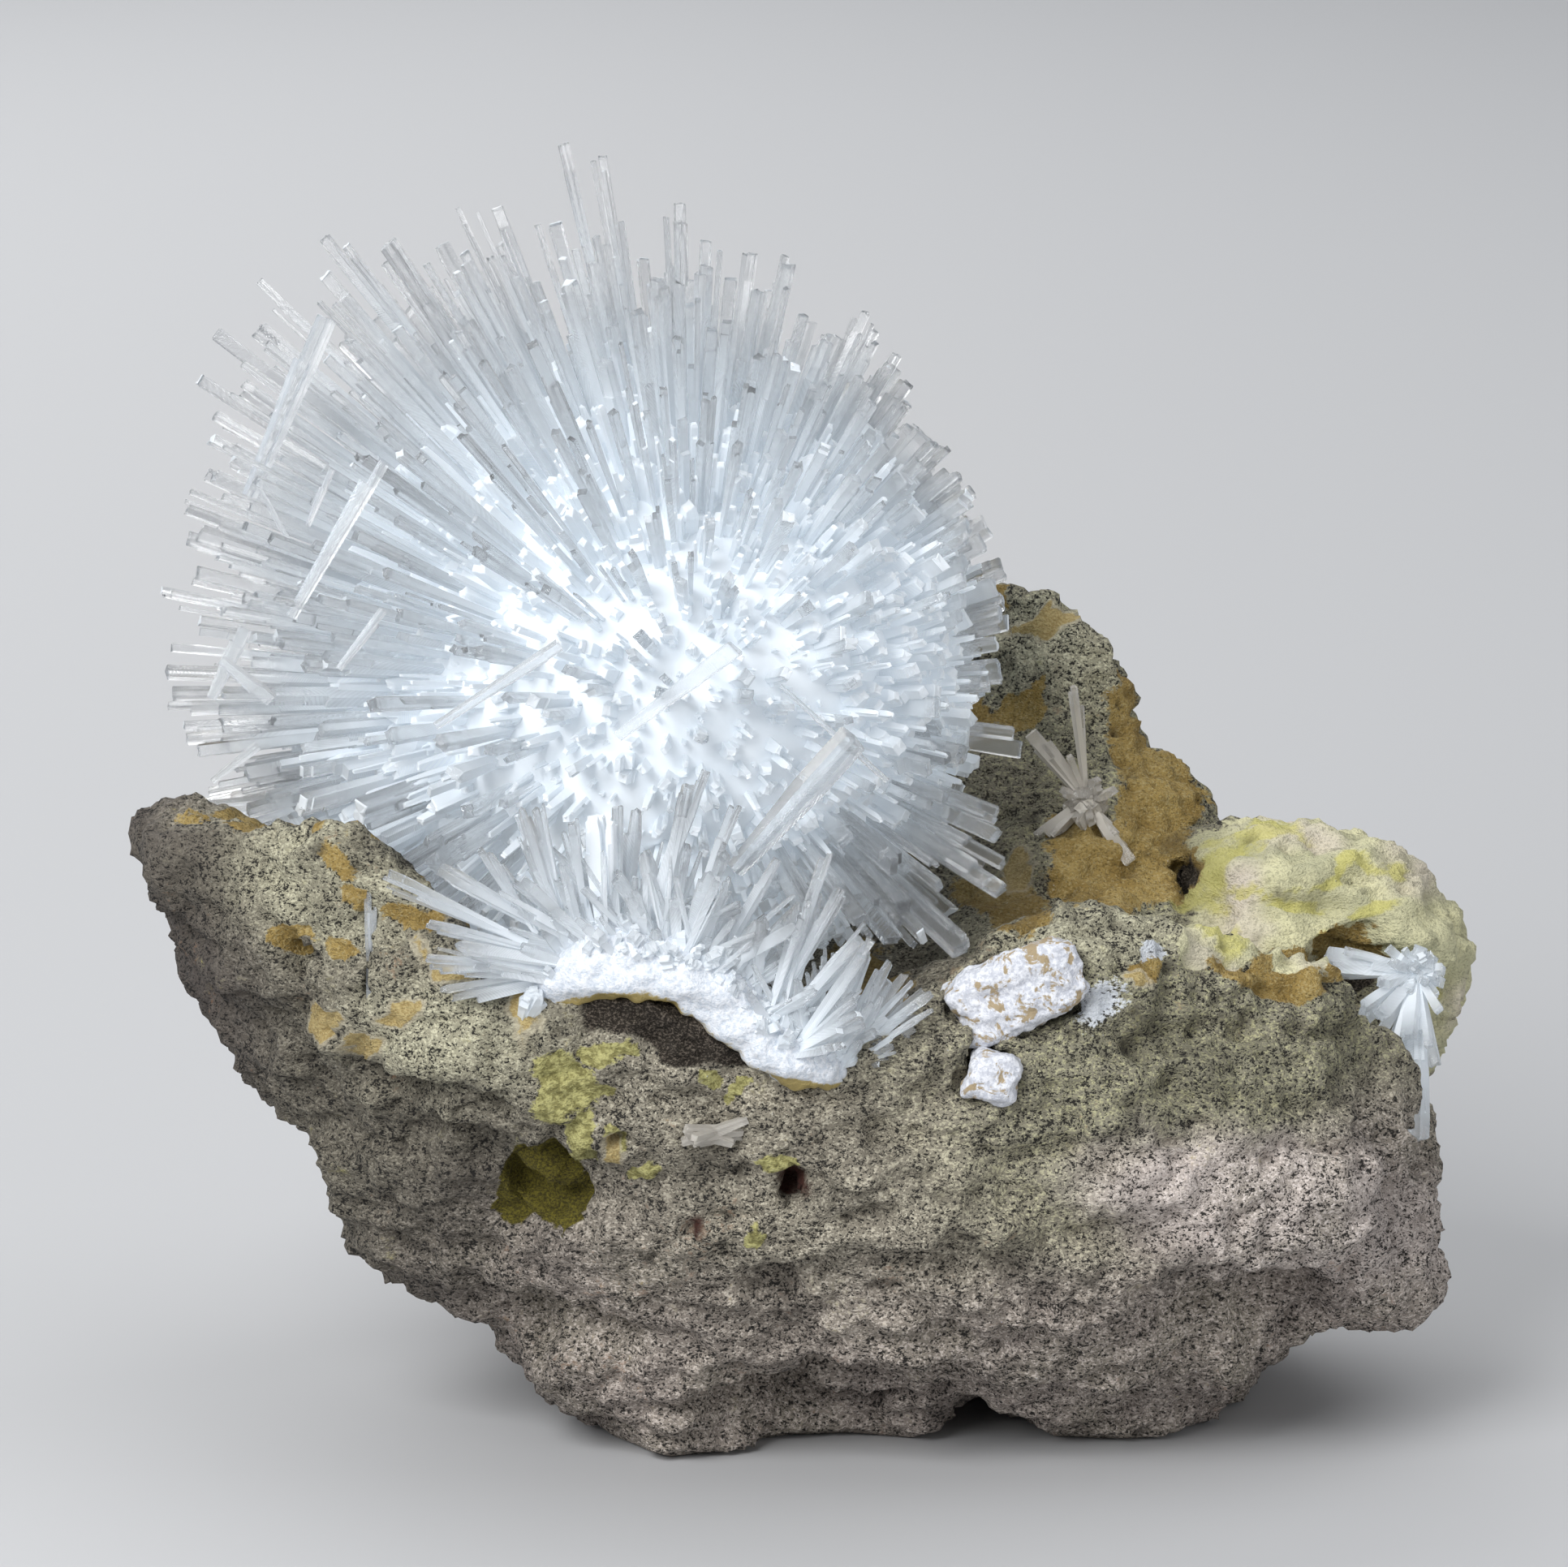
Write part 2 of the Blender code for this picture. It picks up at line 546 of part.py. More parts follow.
def main():
    clear_scene()
    nodes = new_collection("scolecite_spray")
    cutters = new_collection("cutters")
    cutters.hide_render = True
    rock = make_rock(nodes, cutters)
    rock_tree = tree_of(rock)

    ball = make_spray(
        "main_spray", core_bmesh(), ball_prisms(rock_tree), BALL_ROOT, nodes, cutters
    )
    ball_tree = tree_of(ball)
    sockets = [make_lone_crystal(name, rock_tree, nodes, cutters) for name in LONE_CRYSTALS]
    sockets += [make_chalk(name, rock_tree, nodes, cutters) for name in CHALKY_CRUSTS]
    placed = [tree_of(nodes.objects[name]) for name in (*LONE_CRYSTALS, *CHALKY_CRUSTS)]

    crust_origin = Vector(CRUST_LINE[1][:3]) * MM
    crystals = fan_prisms([rock_tree, ball_tree, *placed])
    make_spray("front_spray", crust_bmesh(), crystals, crust_origin, nodes, cutters)
    sockets += make_knot("side_spray", SIDE_ROOT, SIDE_BOSS, SIDE_CRYSTALS, nodes, cutters)
    sockets += make_knot(
        "ridge_spray", RIDGE_ROOT, RIDGE_BOSS, RIDGE_CRYSTALS, nodes, cutters
    )
    sockets += [
        object_from(core_bmesh(GAP), "ball_socket", BALL_ROOT, cutters),
        object_from(crust_bmesh(GAP), "crust_socket", crust_origin, cutters),
    ]
    cut_base(rock, cutters)
    for socket in sockets:
        boolean(rock, socket, "DIFFERENCE", use_self=True)

    stand = bpy.data.objects.new("specimen", None)
    nodes.objects.link(stand)
    for obj in list(nodes.objects):
        if obj != stand:
            obj.parent = stand


main()
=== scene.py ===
"""The looks of a scolecite spray: clear needles grown in the vug of a basalt block."""

import math

import bmesh
import bpy
import numpy as np
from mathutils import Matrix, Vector
from mathutils.bvhtree import BVHTree


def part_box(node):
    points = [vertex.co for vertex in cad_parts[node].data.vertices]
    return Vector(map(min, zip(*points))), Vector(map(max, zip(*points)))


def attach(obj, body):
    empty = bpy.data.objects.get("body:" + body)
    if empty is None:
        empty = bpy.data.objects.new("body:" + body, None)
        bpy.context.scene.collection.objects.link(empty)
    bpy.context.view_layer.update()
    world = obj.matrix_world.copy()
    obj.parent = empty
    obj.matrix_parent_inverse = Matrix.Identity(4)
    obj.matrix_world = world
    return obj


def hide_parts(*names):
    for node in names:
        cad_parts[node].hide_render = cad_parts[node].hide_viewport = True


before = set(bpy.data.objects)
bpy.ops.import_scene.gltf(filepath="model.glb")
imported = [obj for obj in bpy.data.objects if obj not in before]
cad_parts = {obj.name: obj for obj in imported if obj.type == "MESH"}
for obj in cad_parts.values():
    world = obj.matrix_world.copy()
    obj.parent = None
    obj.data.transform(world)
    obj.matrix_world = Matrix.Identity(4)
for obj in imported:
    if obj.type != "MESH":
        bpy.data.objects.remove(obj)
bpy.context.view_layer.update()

# The studio. A plain pale floor lies under the specimen, with soft lights close around it
# and a long lens that looks down on it by 12 degrees.
MM = 0.001
VIEW_TILT = math.radians(12)
VIEW_TARGET = np.array([0.0, 0.0, 57.4]) * MM
VIEW_DISTANCE = 1.3
VIEW_WIDTH = 144.9 * MM  # seen at the target
SENSOR_WIDTH = 36.0
FLOOR_SIDE = 12.0
FLOOR_COLOUR = (0.52, 0.525, 0.535, 1)
ROOM_COLOUR, ROOM_LIGHT = (0.86, 0.89, 0.94, 1), 0.36
BOUNCES = 14  # enough for light to pass through several needles
BRIGHTEST_BOUNCE = 25.0
SOFT_LIGHTS = {  # place, side and power of square lights that face the specimen
    "key": ((-0.42, -0.70, 0.60), 0.55, 9.2),
    "fill": ((0.75, -0.75, 0.22), 0.8, 2.3),
    "back": ((-0.30, 0.66, 0.50), 0.8, 3.6),
    "top": ((0.22, 0.05, 0.85), 0.8, 1.8),
}

to_camera = np.array([0, -math.cos(VIEW_TILT), math.sin(VIEW_TILT)])
picture_up = np.array([0, math.sin(VIEW_TILT), math.cos(VIEW_TILT)])


def aim(obj, place, target):
    """Puts a lamp or camera at a place, looking at the target."""
    obj.location = place
    obj.rotation_euler = (Vector(target) - Vector(place)).to_track_quat("-Z", "Y").to_euler()
    bpy.context.scene.collection.objects.link(obj)


lens = bpy.data.cameras.new("long_lens")
lens.sensor_width = SENSOR_WIDTH
lens.lens = SENSOR_WIDTH * VIEW_DISTANCE / VIEW_WIDTH
lens.clip_end = 100
camera = bpy.data.objects.new("camera", lens)
aim(camera, VIEW_TARGET + to_camera * VIEW_DISTANCE, VIEW_TARGET)
bpy.context.scene.camera = camera

for light_name, (place, side, power) in SOFT_LIGHTS.items():
    light = bpy.data.lights.new(light_name, "AREA")
    light.size = side
    light.energy = power
    aim(bpy.data.objects.new(light_name, light), place, VIEW_TARGET)

world = bpy.data.worlds.new("dim_room")
world.use_nodes = True
world.node_tree.nodes["Background"].inputs["Color"].default_value = ROOM_COLOUR
world.node_tree.nodes["Background"].inputs["Strength"].default_value = ROOM_LIGHT
bpy.context.scene.world = world
bpy.context.scene.view_settings.view_transform = "Standard"
bpy.context.scene.cycles.max_bounces = BOUNCES
bpy.context.scene.cycles.transmission_bounces = BOUNCES
bpy.context.scene.cycles.sample_clamp_indirect = BRIGHTEST_BOUNCE


class Wire:
    """A socket in a material's nodes. Arithmetic on wires adds Math nodes."""

    def __init__(self, tree, socket):
        self.tree = tree
        self.socket = socket

    def node(self, kind, settings=None, inputs=None, out=0):
        """Adds a node: settings first, then a value or a wire for each input."""
        made = self.tree.nodes.new(kind)
        for key, value in (settings or {}).items():
            if key == "stops":
                ramp = made.color_ramp.elements
                while len(ramp) < len(value):
                    ramp.new(1.0)
                for stop, (place, shade) in zip(ramp, value):
                    stop.position = place
                    stop.color = shade
            else:
                setattr(made, key, value)
        for key, value in (inputs or {}).items():
            if isinstance(value, Wire):
                self.tree.links.new(value.socket, made.inputs[key])
            else:
                made.inputs[key].default_value = value
        return Wire(self.tree, made.outputs[out])

    def math(self, operation, a, b):
        return self.node("ShaderNodeMath", {"operation": operation}, {0: a, 1: b})

    def __add__(self, other):
        return self.math("ADD", self, other)

    def __sub__(self, other):
        return self.math("SUBTRACT", self, other)

    def __rsub__(self, other):
        return self.math("SUBTRACT", other, self)

    def __mul__(self, other):
        return self.math("MULTIPLY", self, other)

    __radd__ = __add__
    __rmul__ = __mul__

    def over(self, low, high):
        """From 0 at low to 1 at high, and flat past both."""
        return self.node(
            "ShaderNodeMapRange", {"interpolation_type": "SMOOTHSTEP"},
            {"Value": self, "From Min": low, "From Max": high},
        )

    def blend(self, first, second):
        """The first colour where this is 0 and the second where it is 1."""
        return self.node(
            "ShaderNodeMix", {"data_type": "RGBA"}, {0: self, 6: first, 7: second}, out=2
        )

    def grain(self, size, detail=2.0, roughness=0.6, distortion=0.0):
        """Noise from 0 to 1 with lumps of that size, on the place that this wire gives."""
        return self.node(
            "ShaderNodeTexNoise", None,
            {"Vector": self, "Scale": 1 / size, "Detail": detail, "Roughness": roughness,
             "Distortion": distortion},
        )

    def named(self, attribute):
        return self.node("ShaderNodeAttribute", {"attribute_name": attribute}, out=2)


def new_material(name):
    """A material with an output, and the wires of its surface socket and object place."""
    material = bpy.data.materials.new(name)
    material.use_nodes = True
    tree = material.node_tree
    tree.nodes.clear()
    surface = Wire(tree, tree.nodes.new("ShaderNodeOutputMaterial").inputs["Surface"])
    place = surface.node("ShaderNodeTexCoord", out=3)
    return material, surface, place


def finish_material(surface, shader):
    surface.tree.links.new(shader.socket, surface.socket)


def as_mesh(name, points, faces, material, smooth=False):
    """A scene object at the origin from arrays of points and faces."""
    mesh = bpy.data.meshes.new(name)
    mesh.from_pydata(points, [], faces)
    mesh.polygons.foreach_set("use_smooth", np.full(len(mesh.polygons), smooth))
    mesh.materials.append(material)
    obj = bpy.data.objects.new(name, mesh)
    bpy.context.scene.collection.objects.link(obj)
    return obj


def painted(obj, name, values, domain="POINT"):
    """Keeps one number for each point or face under a name that materials read."""
    layer = obj.data.attributes.new(name, "FLOAT", domain)
    layer.data.foreach_set("value", np.asarray(values, np.float32))


floor_material, floor_surface, _ = new_material("pale_floor")
finish_material(floor_surface, floor_surface.node(
    "ShaderNodeBsdfPrincipled", None, {"Base Color": FLOOR_COLOUR, "Roughness": 0.75}))
half = FLOOR_SIDE / 2
floor_corners = np.array([(-half, -half, 0), (half, -half, 0), (half, half, 0), (-half, half, 0)])
as_mesh("floor", floor_corners, [(0, 1, 2, 3)], floor_material)

# The basalt. One block of grey vesicular lava, broken all round, with crumbly faces, pin
# holes and soft ochre and yellow coatings. Everything else on the specimen grew on it.
ROCK_GRID = 0.66 * MM
ROCK_SMOOTHING = 12  # passes that round off the facets of the solid
STRATA_SIZE, STRATA_HEIGHT = np.array([17.0, 12.0, 3.4]) * MM, 1.1 * MM
CRUMB_SIZE, CRUMB_HEIGHT = 5.0 * MM, 1.05 * MM
CHIP_SIZE, CHIP_HEIGHT = np.array([2.9, 2.6, 1.9]) * MM, 0.68 * MM
GRAIN_SIZE, GRAIN_HEIGHT = 1.2 * MM, 0.34 * MM
PIN_HOLES = (  # cell size, radius, depth and share of the cells that hold one
    (4.6 * MM, 0.95 * MM, 1.05 * MM, 0.45),
    (2.3 * MM, 0.60 * MM, 0.6 * MM, 0.65),
)
BOWL_CALM = 0.45  # share of the relief that the worn bowl goes without
LEVEL_BASE = (0.15 * MM, 1.6 * MM)  # heights between which the relief sets in
BUMP_HEIGHT = 0.42 * MM


def lattice(cells, seed):
    """A fixed random number from 0 to 1 for each cell of integers, by multiply and fold."""
    mixed = cells @ np.array([73856093, 19349663, 83492791]) + seed * 40503
    for _ in range(2):
        mixed = ((mixed ^ (mixed >> 15)) * 739982445) & 0x7FFFFFFF
    return (mixed & 0xFFFF) / 0xFFFF


def noise(points, size, seed):
    """Smooth noise from -1 to 1: the lattice numbers of the eight corners round a point,
    blended by 3t^2 - 2t^3 along each axis."""
    cells = points / size
    low = np.floor(cells).astype(np.int64)
    part = cells - low
    part = part * part * (3 - 2 * part)
    total = np.zeros(len(points))
    for corner in np.ndindex(2, 2, 2):
        weight = np.prod(np.where(corner, part, 1 - part), axis=1)
        total += weight * lattice(low + corner, seed)
    return total * 2 - 1


def fractal(points, size, seed, octaves=3):
    """Noise summed over octaves, each with half the size and half the height."""
    return sum(noise(points, size / 2**k, seed + k) / 2**k for k in range(octaves))


def pin_holes(points, cell, radius, depth, share, seed):
    """How deep each point lies in round holes, one at a random place in a share of the
    cells: depth times 1 - (distance / radius)^2, where that is above 0."""
    low = np.floor(points / cell).astype(np.int64)
    deepest = np.zeros(len(points))
    for shift in np.ndindex(3, 3, 3):
        near = low + np.array(shift) - 1
        centre = np.stack([lattice(near, seed + k) for k in range(3)], axis=1)
        size = radius * (0.55 + 0.6 * lattice(near, seed + 3))
        distance = np.linalg.norm((near + centre) * cell - points, axis=1)
        hole = np.clip(1 - (distance / size) ** 2, 0, 1) * depth
        deepest = np.maximum(deepest, hole * (lattice(near, seed + 4) < share))
    return deepest


def smoothstep(value, low, high):
    part = np.clip((value - low) / (high - low), 0, 1)
    return part * part * (3 - 2 * part)


def merged_copy(node, name):
    """A copy of a solid's mesh with its loose triangles joined."""
    bm = bmesh.new()
    bm.from_mesh(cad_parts[node].data)
    bmesh.ops.remove_doubles(bm, verts=bm.verts, dist=0.01 * MM)
    mesh = bpy.data.meshes.new(name)
    bm.to_mesh(mesh)
    bm.free()
    return mesh


def remeshed(node, name, grid, passes):
    """An object with a copy of a solid on an even grid, its facets smoothed away."""
    obj = bpy.data.objects.new(name, merged_copy(node, name))
    bpy.context.scene.collection.objects.link(obj)
    even_grid = obj.modifiers.new("even_grid", "REMESH")
    even_grid.mode = "VOXEL"
    even_grid.voxel_size = grid
    rounded = obj.modifiers.new("rounded", "SMOOTH")
    rounded.iterations = passes
    bpy.context.view_layer.update()
    shaped = obj.evaluated_get(bpy.context.evaluated_depsgraph_get())
    even = bpy.data.meshes.new_from_object(shaped)
    obj.modifiers.clear()
    obj.data = even
    even.polygons.foreach_set("use_smooth", np.full(len(even.polygons), True))
    return obj


def points_and_normals(mesh):
    points = np.zeros(len(mesh.vertices) * 3, np.float32)
    normals = np.zeros_like(points)
    mesh.vertices.foreach_get("co", points)
    mesh.vertices.foreach_get("normal", normals)
    return points.reshape(-1, 3).astype(float), normals.reshape(-1, 3).astype(float)


PIXEL = 0.075 * MM  # of the photograph, at the camera's target
PICTURE_MIDDLE = np.array([966.0, 965.5])


def in_picture(points):
    """The pixel of the photograph that shows each point, as across and down."""
    away = points - VIEW_TARGET
    scale = VIEW_DISTANCE / (VIEW_DISTANCE - away @ to_camera)
    across = away[:, 0] * scale / PIXEL
    up = away @ picture_up * scale / PIXEL
    return np.stack([across, -up], axis=1) + PICTURE_MIDDLE


def spot(pixels, middle, radii, tilt=0.0, edge=0.35):
    """1 inside an ellipse of the picture, 0 outside, with a soft edge. A tilt above 0 lifts
    its right end."""
    turn = math.radians(tilt)
    across = pixels - np.array(middle)
    along = across @ np.array([math.cos(turn), -math.sin(turn)]) / radii[0]
    aside = across @ np.array([math.sin(turn), math.cos(turn)]) / radii[1]
    return 1 - smoothstep(np.hypot(along, aside), 1 - edge, 1 + edge)


block = remeshed("basalt_matrix", "basalt_block", ROCK_GRID, ROCK_SMOOTHING)
rock, rock_out = points_and_normals(block.data)
rock_pixels = in_picture(rock)
faces_front = rock_out @ to_camera

BALL_ROOT = np.array([-8.7, 4.0, 65.0]) * MM
to_ball = BALL_ROOT - rock
ball_distance = np.linalg.norm(to_ball, axis=1)
faces_ball = np.einsum("ij,ij->i", rock_out, to_ball) / ball_distance
in_bowl = smoothstep(faces_ball, 0.15, 0.5) * (1 - smoothstep(ball_distance, 0.048, 0.056))

FRONT_FORMS = (  # hollows and swellings of the front: place, radii, tilt and height in mm
    ((620, 1425), (115, 24), -14, -2.4), ((452, 1322), (66, 22), -15, -1.7),
    ((530, 1346), (80, 18), -8, -1.2), ((640, 1622), (150, 22), -13, -1.8),
    ((940, 1714), (120, 18), 4, -2.2), ((842, 1366), (50, 14), 5, -1.3),
    ((973, 1454), (17, 12), 0, -2.2), ((857, 1516), (10, 8), 0, -1.5),
    ((540, 1268), (120, 55), -10, 1.1), ((480, 1470), (105, 50), -22, 1.0),
    ((760, 1560), (120, 45), -8, 0.9), ((330, 1290), (40, 60), 30, 0.9),
    ((1388, 1522), (66, 22), 8, -2.4), ((1560, 1604), (125, 44), 6, -3.2),
    ((1170, 1556), (66, 18), -4, -2.0), ((1180, 1508), (78, 30), 0, 1.5),
    ((1540, 1480), (180, 60), -12, 1.0), ((1545, 1268), (90, 15), 2, -1.3),
    ((1010, 1702), (110, 20), 6, -2.2), ((1345, 1650), (130, 48), 8, 1.0),
    ((1640, 1416), (105, 8), 3, -1.0), ((1166, 1340), (42, 20), -10, -1.6),
    ((1290, 1395), (110, 20), 8, 0.8), ((1010, 1560), (90, 22), 10, -1.0),
    ((720, 1690), (80, 26), -20, 0.9), ((672, 1468), (52, 42), -8, -1.6),
    ((250, 1160), (36, 60), 10, -0.8), ((395, 1175), (50, 24), -10, -1.2),
    ((1240, 1115), (60, 26), -12, -1.4), ((1565, 1200), (66, 24), -6, -0.9),
    ((1620, 1090), (120, 50), -20, 0.8), ((1715, 1130), (60, 20), -35, 0.9),
)
warp = np.stack([fractal(rock, 6 * MM, seed) for seed in (301, 311)], axis=1)
forms = sum(height * spot(rock_pixels + 16 * warp, middle, radii, tilt, edge=0.6)
            for middle, radii, tilt, height in FRONT_FORMS) * MM
relief = forms * smoothstep(faces_front, 0.05, 0.35) * (1 - in_bowl)
strata = fractal(rock, STRATA_SIZE, 51, 2)
upright = 1 - smoothstep(np.abs(rock_out[:, 2]), 0.5, 0.9)
relief += STRATA_HEIGHT * (0.5 - np.abs(strata)) * upright
relief += CRUMB_HEIGHT * fractal(rock, CRUMB_SIZE, 11)
relief += CHIP_HEIGHT * (1 - 2 * np.abs(fractal(rock, CHIP_SIZE, 21)))
relief += GRAIN_HEIGHT * noise(rock, GRAIN_SIZE, 31)
relief *= 1 - BOWL_CALM * in_bowl
holes = np.zeros(len(rock))
for number, (cell, radius, depth, share) in enumerate(PIN_HOLES):
    holes = np.maximum(holes, pin_holes(rock, cell, radius, depth, share, 61 + 10 * number))
open_share = smoothstep(fractal(rock, 24 * MM, 91, 2), -0.35, 0.35) * (1 - 0.8 * in_bowl)
relief -= holes * (0.35 + 0.65 * open_share)
above_base = smoothstep(rock[:, 2], *LEVEL_BASE)
rock += rock_out * (relief * above_base)[:, None]
rock[:, 2] = np.maximum(rock[:, 2], 0)
block.data.vertices.foreach_set("co", rock.astype(np.float32).ravel())
block.data.update()

# Where the coatings lie, by their places in the photograph and by which way they face.
# SUNLIT holds painted light, and SHADOW painted shade in the dark recesses.
SUNLIT = (((390, 1085), (190, 90), -10), ((560, 1265), (130, 80), -10),
          ((1290, 790), (120, 70), -35), ((1310, 1160), (120, 30), 0))
OCHRE = (  # soft coat in the bowl, in pockets and along the rims
    ((1418, 950), (42, 135), 14), ((1370, 1065), (88, 66), -10), ((1570, 1200), (66, 26), -6),
    ((1235, 1115), (66, 32), -10), ((1165, 885), (70, 26), 8), ((1262, 868), (24, 26), 0),
    ((1108, 1078), (24, 26), 0), ((1078, 1215), (24, 44), 20), ((330, 1012), (105, 9), 0),
    ((422, 1064), (30, 14), 0), ((445, 1098), (20, 18), 0), ((1665, 1180), (40, 34), 0),
    ((352, 1160), (22, 20), 0), ((412, 1165), (26, 16), -20), ((1180, 735), (60, 10), 0),
    ((1460, 1085), (26, 26), 0), ((520, 1140), (40, 14), -12), ((1410, 1195), (26, 12), 0),
)
TAN = (  # pinkish tan patches with a paler rim
    ((411, 1256), (21, 22), 30), ((503, 1237), (32, 13), 16), ((548, 1180), (32, 14), -18),
    ((1285, 766), (40, 12), 4), ((1250, 1070), (18, 34), 8), ((655, 1250), (20, 34), 0),
    ((455, 1290), (24, 20), 0), ((767, 1408), (20, 18), 0), ((1402, 1206), (22, 9), 0),
)
YELLOW = (  # thin lemon crusts
    ((690, 1345), (44, 42), 40), ((742, 1300), (30, 14), -10), ((735, 1345), (18, 14), 0),
    ((712, 1400), (22, 24), 0), ((700, 1440), (20, 12), 0), ((770, 1392), (22, 14), -10),
    ((800, 1440), (22, 10), 10), ((875, 1326), (16, 9), 0), ((910, 1350), (26, 12), 30),
    ((735, 1430), (14, 12), 0), ((925, 1512), (16, 14), 40), ((960, 1430), (26, 12), 10),
)
LEMON = (  # bright streaks on the pale lobe and the rim beside it
    ((1560, 1035), (46, 12), 12), ((1600, 1010), (30, 12), 0), ((1500, 1075), (22, 34), -30),
    ((1480, 1110), (34, 16), 0), ((1640, 1085), (56, 9), 18), ((1715, 1075), (16, 16), 0),
    ((1540, 1100), (40, 8), -20), ((1590, 1125), (44, 8), -8), ((1690, 1128), (26, 7), 0),
    ((1765, 1215), (16, 24), 0), ((1500, 1160), (26, 16), 0), ((1640, 1160), (20, 8), 0),
)
LOBE = (((1615, 1100), (165, 92), -8), ((1720, 1120), (70, 60), -30), ((1490, 1170), (40, 34), 0))
VELVET = (((672, 1470), (56, 44), -8),)
SHADOW = (((830, 1262), (118, 44), -16), ((1462, 1087), (20, 19), 0), ((1672, 1200), (34, 22), 0))
CHALK_DUST = (((1350, 1238), (34, 26), 25), ((1420, 1180), (20, 9), 0))
RUSTY = (((973, 1454), (20, 15), 0), ((857, 1516), (12, 10), 0))
WARPED = rock_pixels + np.stack([fractal(rock, 3.5 * MM, seed) for seed in (101, 111)], axis=1) * 16


def coat(spots, edge=0.35):
    """The strongest of some spots, with warped edges, on faces that the photograph shows."""
    total = np.zeros(len(rock))
    for middle, radii, tilt in spots:
        total = np.maximum(total, spot(WARPED, middle, radii, tilt, edge=edge))
    return total * smoothstep(faces_front, -0.25, 0.1)


lobe_edge = 7 * MM * fractal(rock, 8 * MM, 145, 2)
lobe_behind = smoothstep(rock[:, 0] + 0.35 * rock[:, 2] + lobe_edge, 0.064, 0.068)
lobe_behind *= smoothstep(rock[:, 1], -0.006, 0.002)
lobe_behind *= smoothstep(rock[:, 2] + lobe_edge, 0.028, 0.036)
bowl_ochre = in_bowl * smoothstep(fractal(rock, 9 * MM, 121), -0.1, 0.3)
bowl_ochre *= 1 - smoothstep(rock[:, 0], 0.008, 0.014)
for name, spots, edge in (("sunlit", SUNLIT, 0.7), ("tan", TAN, 0.3), ("yellow", YELLOW, 0.4),
                          ("lemon", LEMON, 0.5), ("velvet", VELVET, 0.12), ("shadow", SHADOW, 0.3),
                          ("dust", CHALK_DUST, 0.6), ("rusty", RUSTY, 0.4)):
    painted(block, name, coat(spots, edge))
painted(block, "ochre", np.maximum(coat(OCHRE), bowl_ochre))
painted(block, "lobe", np.maximum(coat(LOBE, edge=0.2), lobe_behind))
# Painted shade: darker in the pin holes, the more so the deeper they are.
painted(block, "hollow", np.clip(holes / (0.8 * MM), 0, 1))
low_down = rock[:, 2] + 12 * MM * noise(rock, 26 * MM, 131) - 0.12 * rock[:, 0]
left_end = smoothstep(-rock[:, 0], 0.044, 0.054)
# The right bulge: its own pale mauve tone, made brighter as painted light.
right_bulge_tone_and_light = coat((((1560, 1490), (220, 85), -12),), edge=0.4)
painted(block, "rosy", np.maximum(1 - smoothstep(low_down, 0.010, 0.032), left_end * 0.8))
# Painted shade: the faces of the left end that turn to the left.
painted(block, "left_end", left_end * smoothstep(-rock_out[:, 0], 0.1, 0.6))
painted(block, "bulge", right_bulge_tone_and_light)
# Painted shade: the left part of the rock is darkened, except on the sunlit spots.
dusky = smoothstep(-rock[:, 0] + 9 * MM * noise(rock, 20 * MM, 143), 0.008, 0.030)
painted(block, "dusky", dusky * (1 - coat(SUNLIT, edge=0.7)))
# Painted shade: the low part of the bowl round the ball's root, darkened.
painted(block, "bowl", in_bowl * (1 - smoothstep(rock[:, 2], 0.050, 0.064)))
for name, size, octaves in (("blotch", 7 * MM, 3), ("crumbs", 2.4 * MM, 2), ("rust", 5 * MM, 3),
                            ("patches", 6 * MM, 2)):
    painted(block, name, 0.5 + 0.14 * fractal(rock, size, 150 + len(name), octaves))
olive_zone = smoothstep(rock[:, 0] + 10 * MM * noise(rock, 22 * MM, 141), 0.004, 0.03)
painted(block, "olive", olive_zone * smoothstep(low_down, 0.018, 0.030) * (1 - right_bulge_tone_and_light))

rock_material, surface, place = new_material("basalt")
squashed = surface.node("ShaderNodeVectorMath", {"operation": "MULTIPLY"}, {
    0: place, 1: (0.78, 0.78, 1.05)})
fine = squashed.grain(0.22 * MM, 2.0, 0.75)
coarse = squashed.grain(0.6 * MM, 2.0, 0.7)
blotch, crumbs = surface.named("blotch"), surface.named("crumbs")
sunlit, rosy, olive = (surface.named(zone) for zone in ("sunlit", "rosy", "olive"))
clusters = (crumbs - 0.5) * 0.2
dark_grain = (fine * 0.6 + coarse * 0.4 + clusters).over(0.488, 0.418)
pale_grain = squashed.grain(0.26 * MM, 1.0, 0.7) * 0.65 + coarse * 0.35
pale_grain = (pale_grain + clusters).over(0.50, 0.62)
stone = rosy.blend((0.290, 0.262, 0.205, 1), (0.310, 0.265, 0.235, 1))
stone = olive.blend(stone, (0.260, 0.247, 0.175, 1))
# the right bulge: pale mauve tone and painted light
stone = surface.named("bulge").blend(stone, (0.56, 0.49, 0.45, 1))
stone = (blotch.over(0.40, 0.66) * 0.7).blend(stone, (0.27, 0.245, 0.19, 1))
stone = sunlit.blend(stone, (0.38, 0.36, 0.26, 1))
pale_tone = rosy.blend((0.68, 0.63, 0.50, 1), (0.70, 0.62, 0.56, 1))
pale_tone = olive.blend(pale_tone, (0.54, 0.52, 0.31, 1))
pale_tone = surface.named("bulge").blend(pale_tone, (0.86, 0.77, 0.72, 1))
pale_tone = sunlit.blend(pale_tone, (0.74, 0.71, 0.52, 1))
stone = (pale_grain * 0.75).blend(stone, pale_tone)
# painted shade: dark blotches at random places, in place of the shade of cavities and undercuts
stone = (blotch.over(0.50, 0.34) * 0.45).blend(stone, (0.050, 0.042, 0.034, 1))
# painted shade over the left part of the rock
stone = (surface.named("dusky") * 0.58).blend(stone, (0.035, 0.030, 0.024, 1))
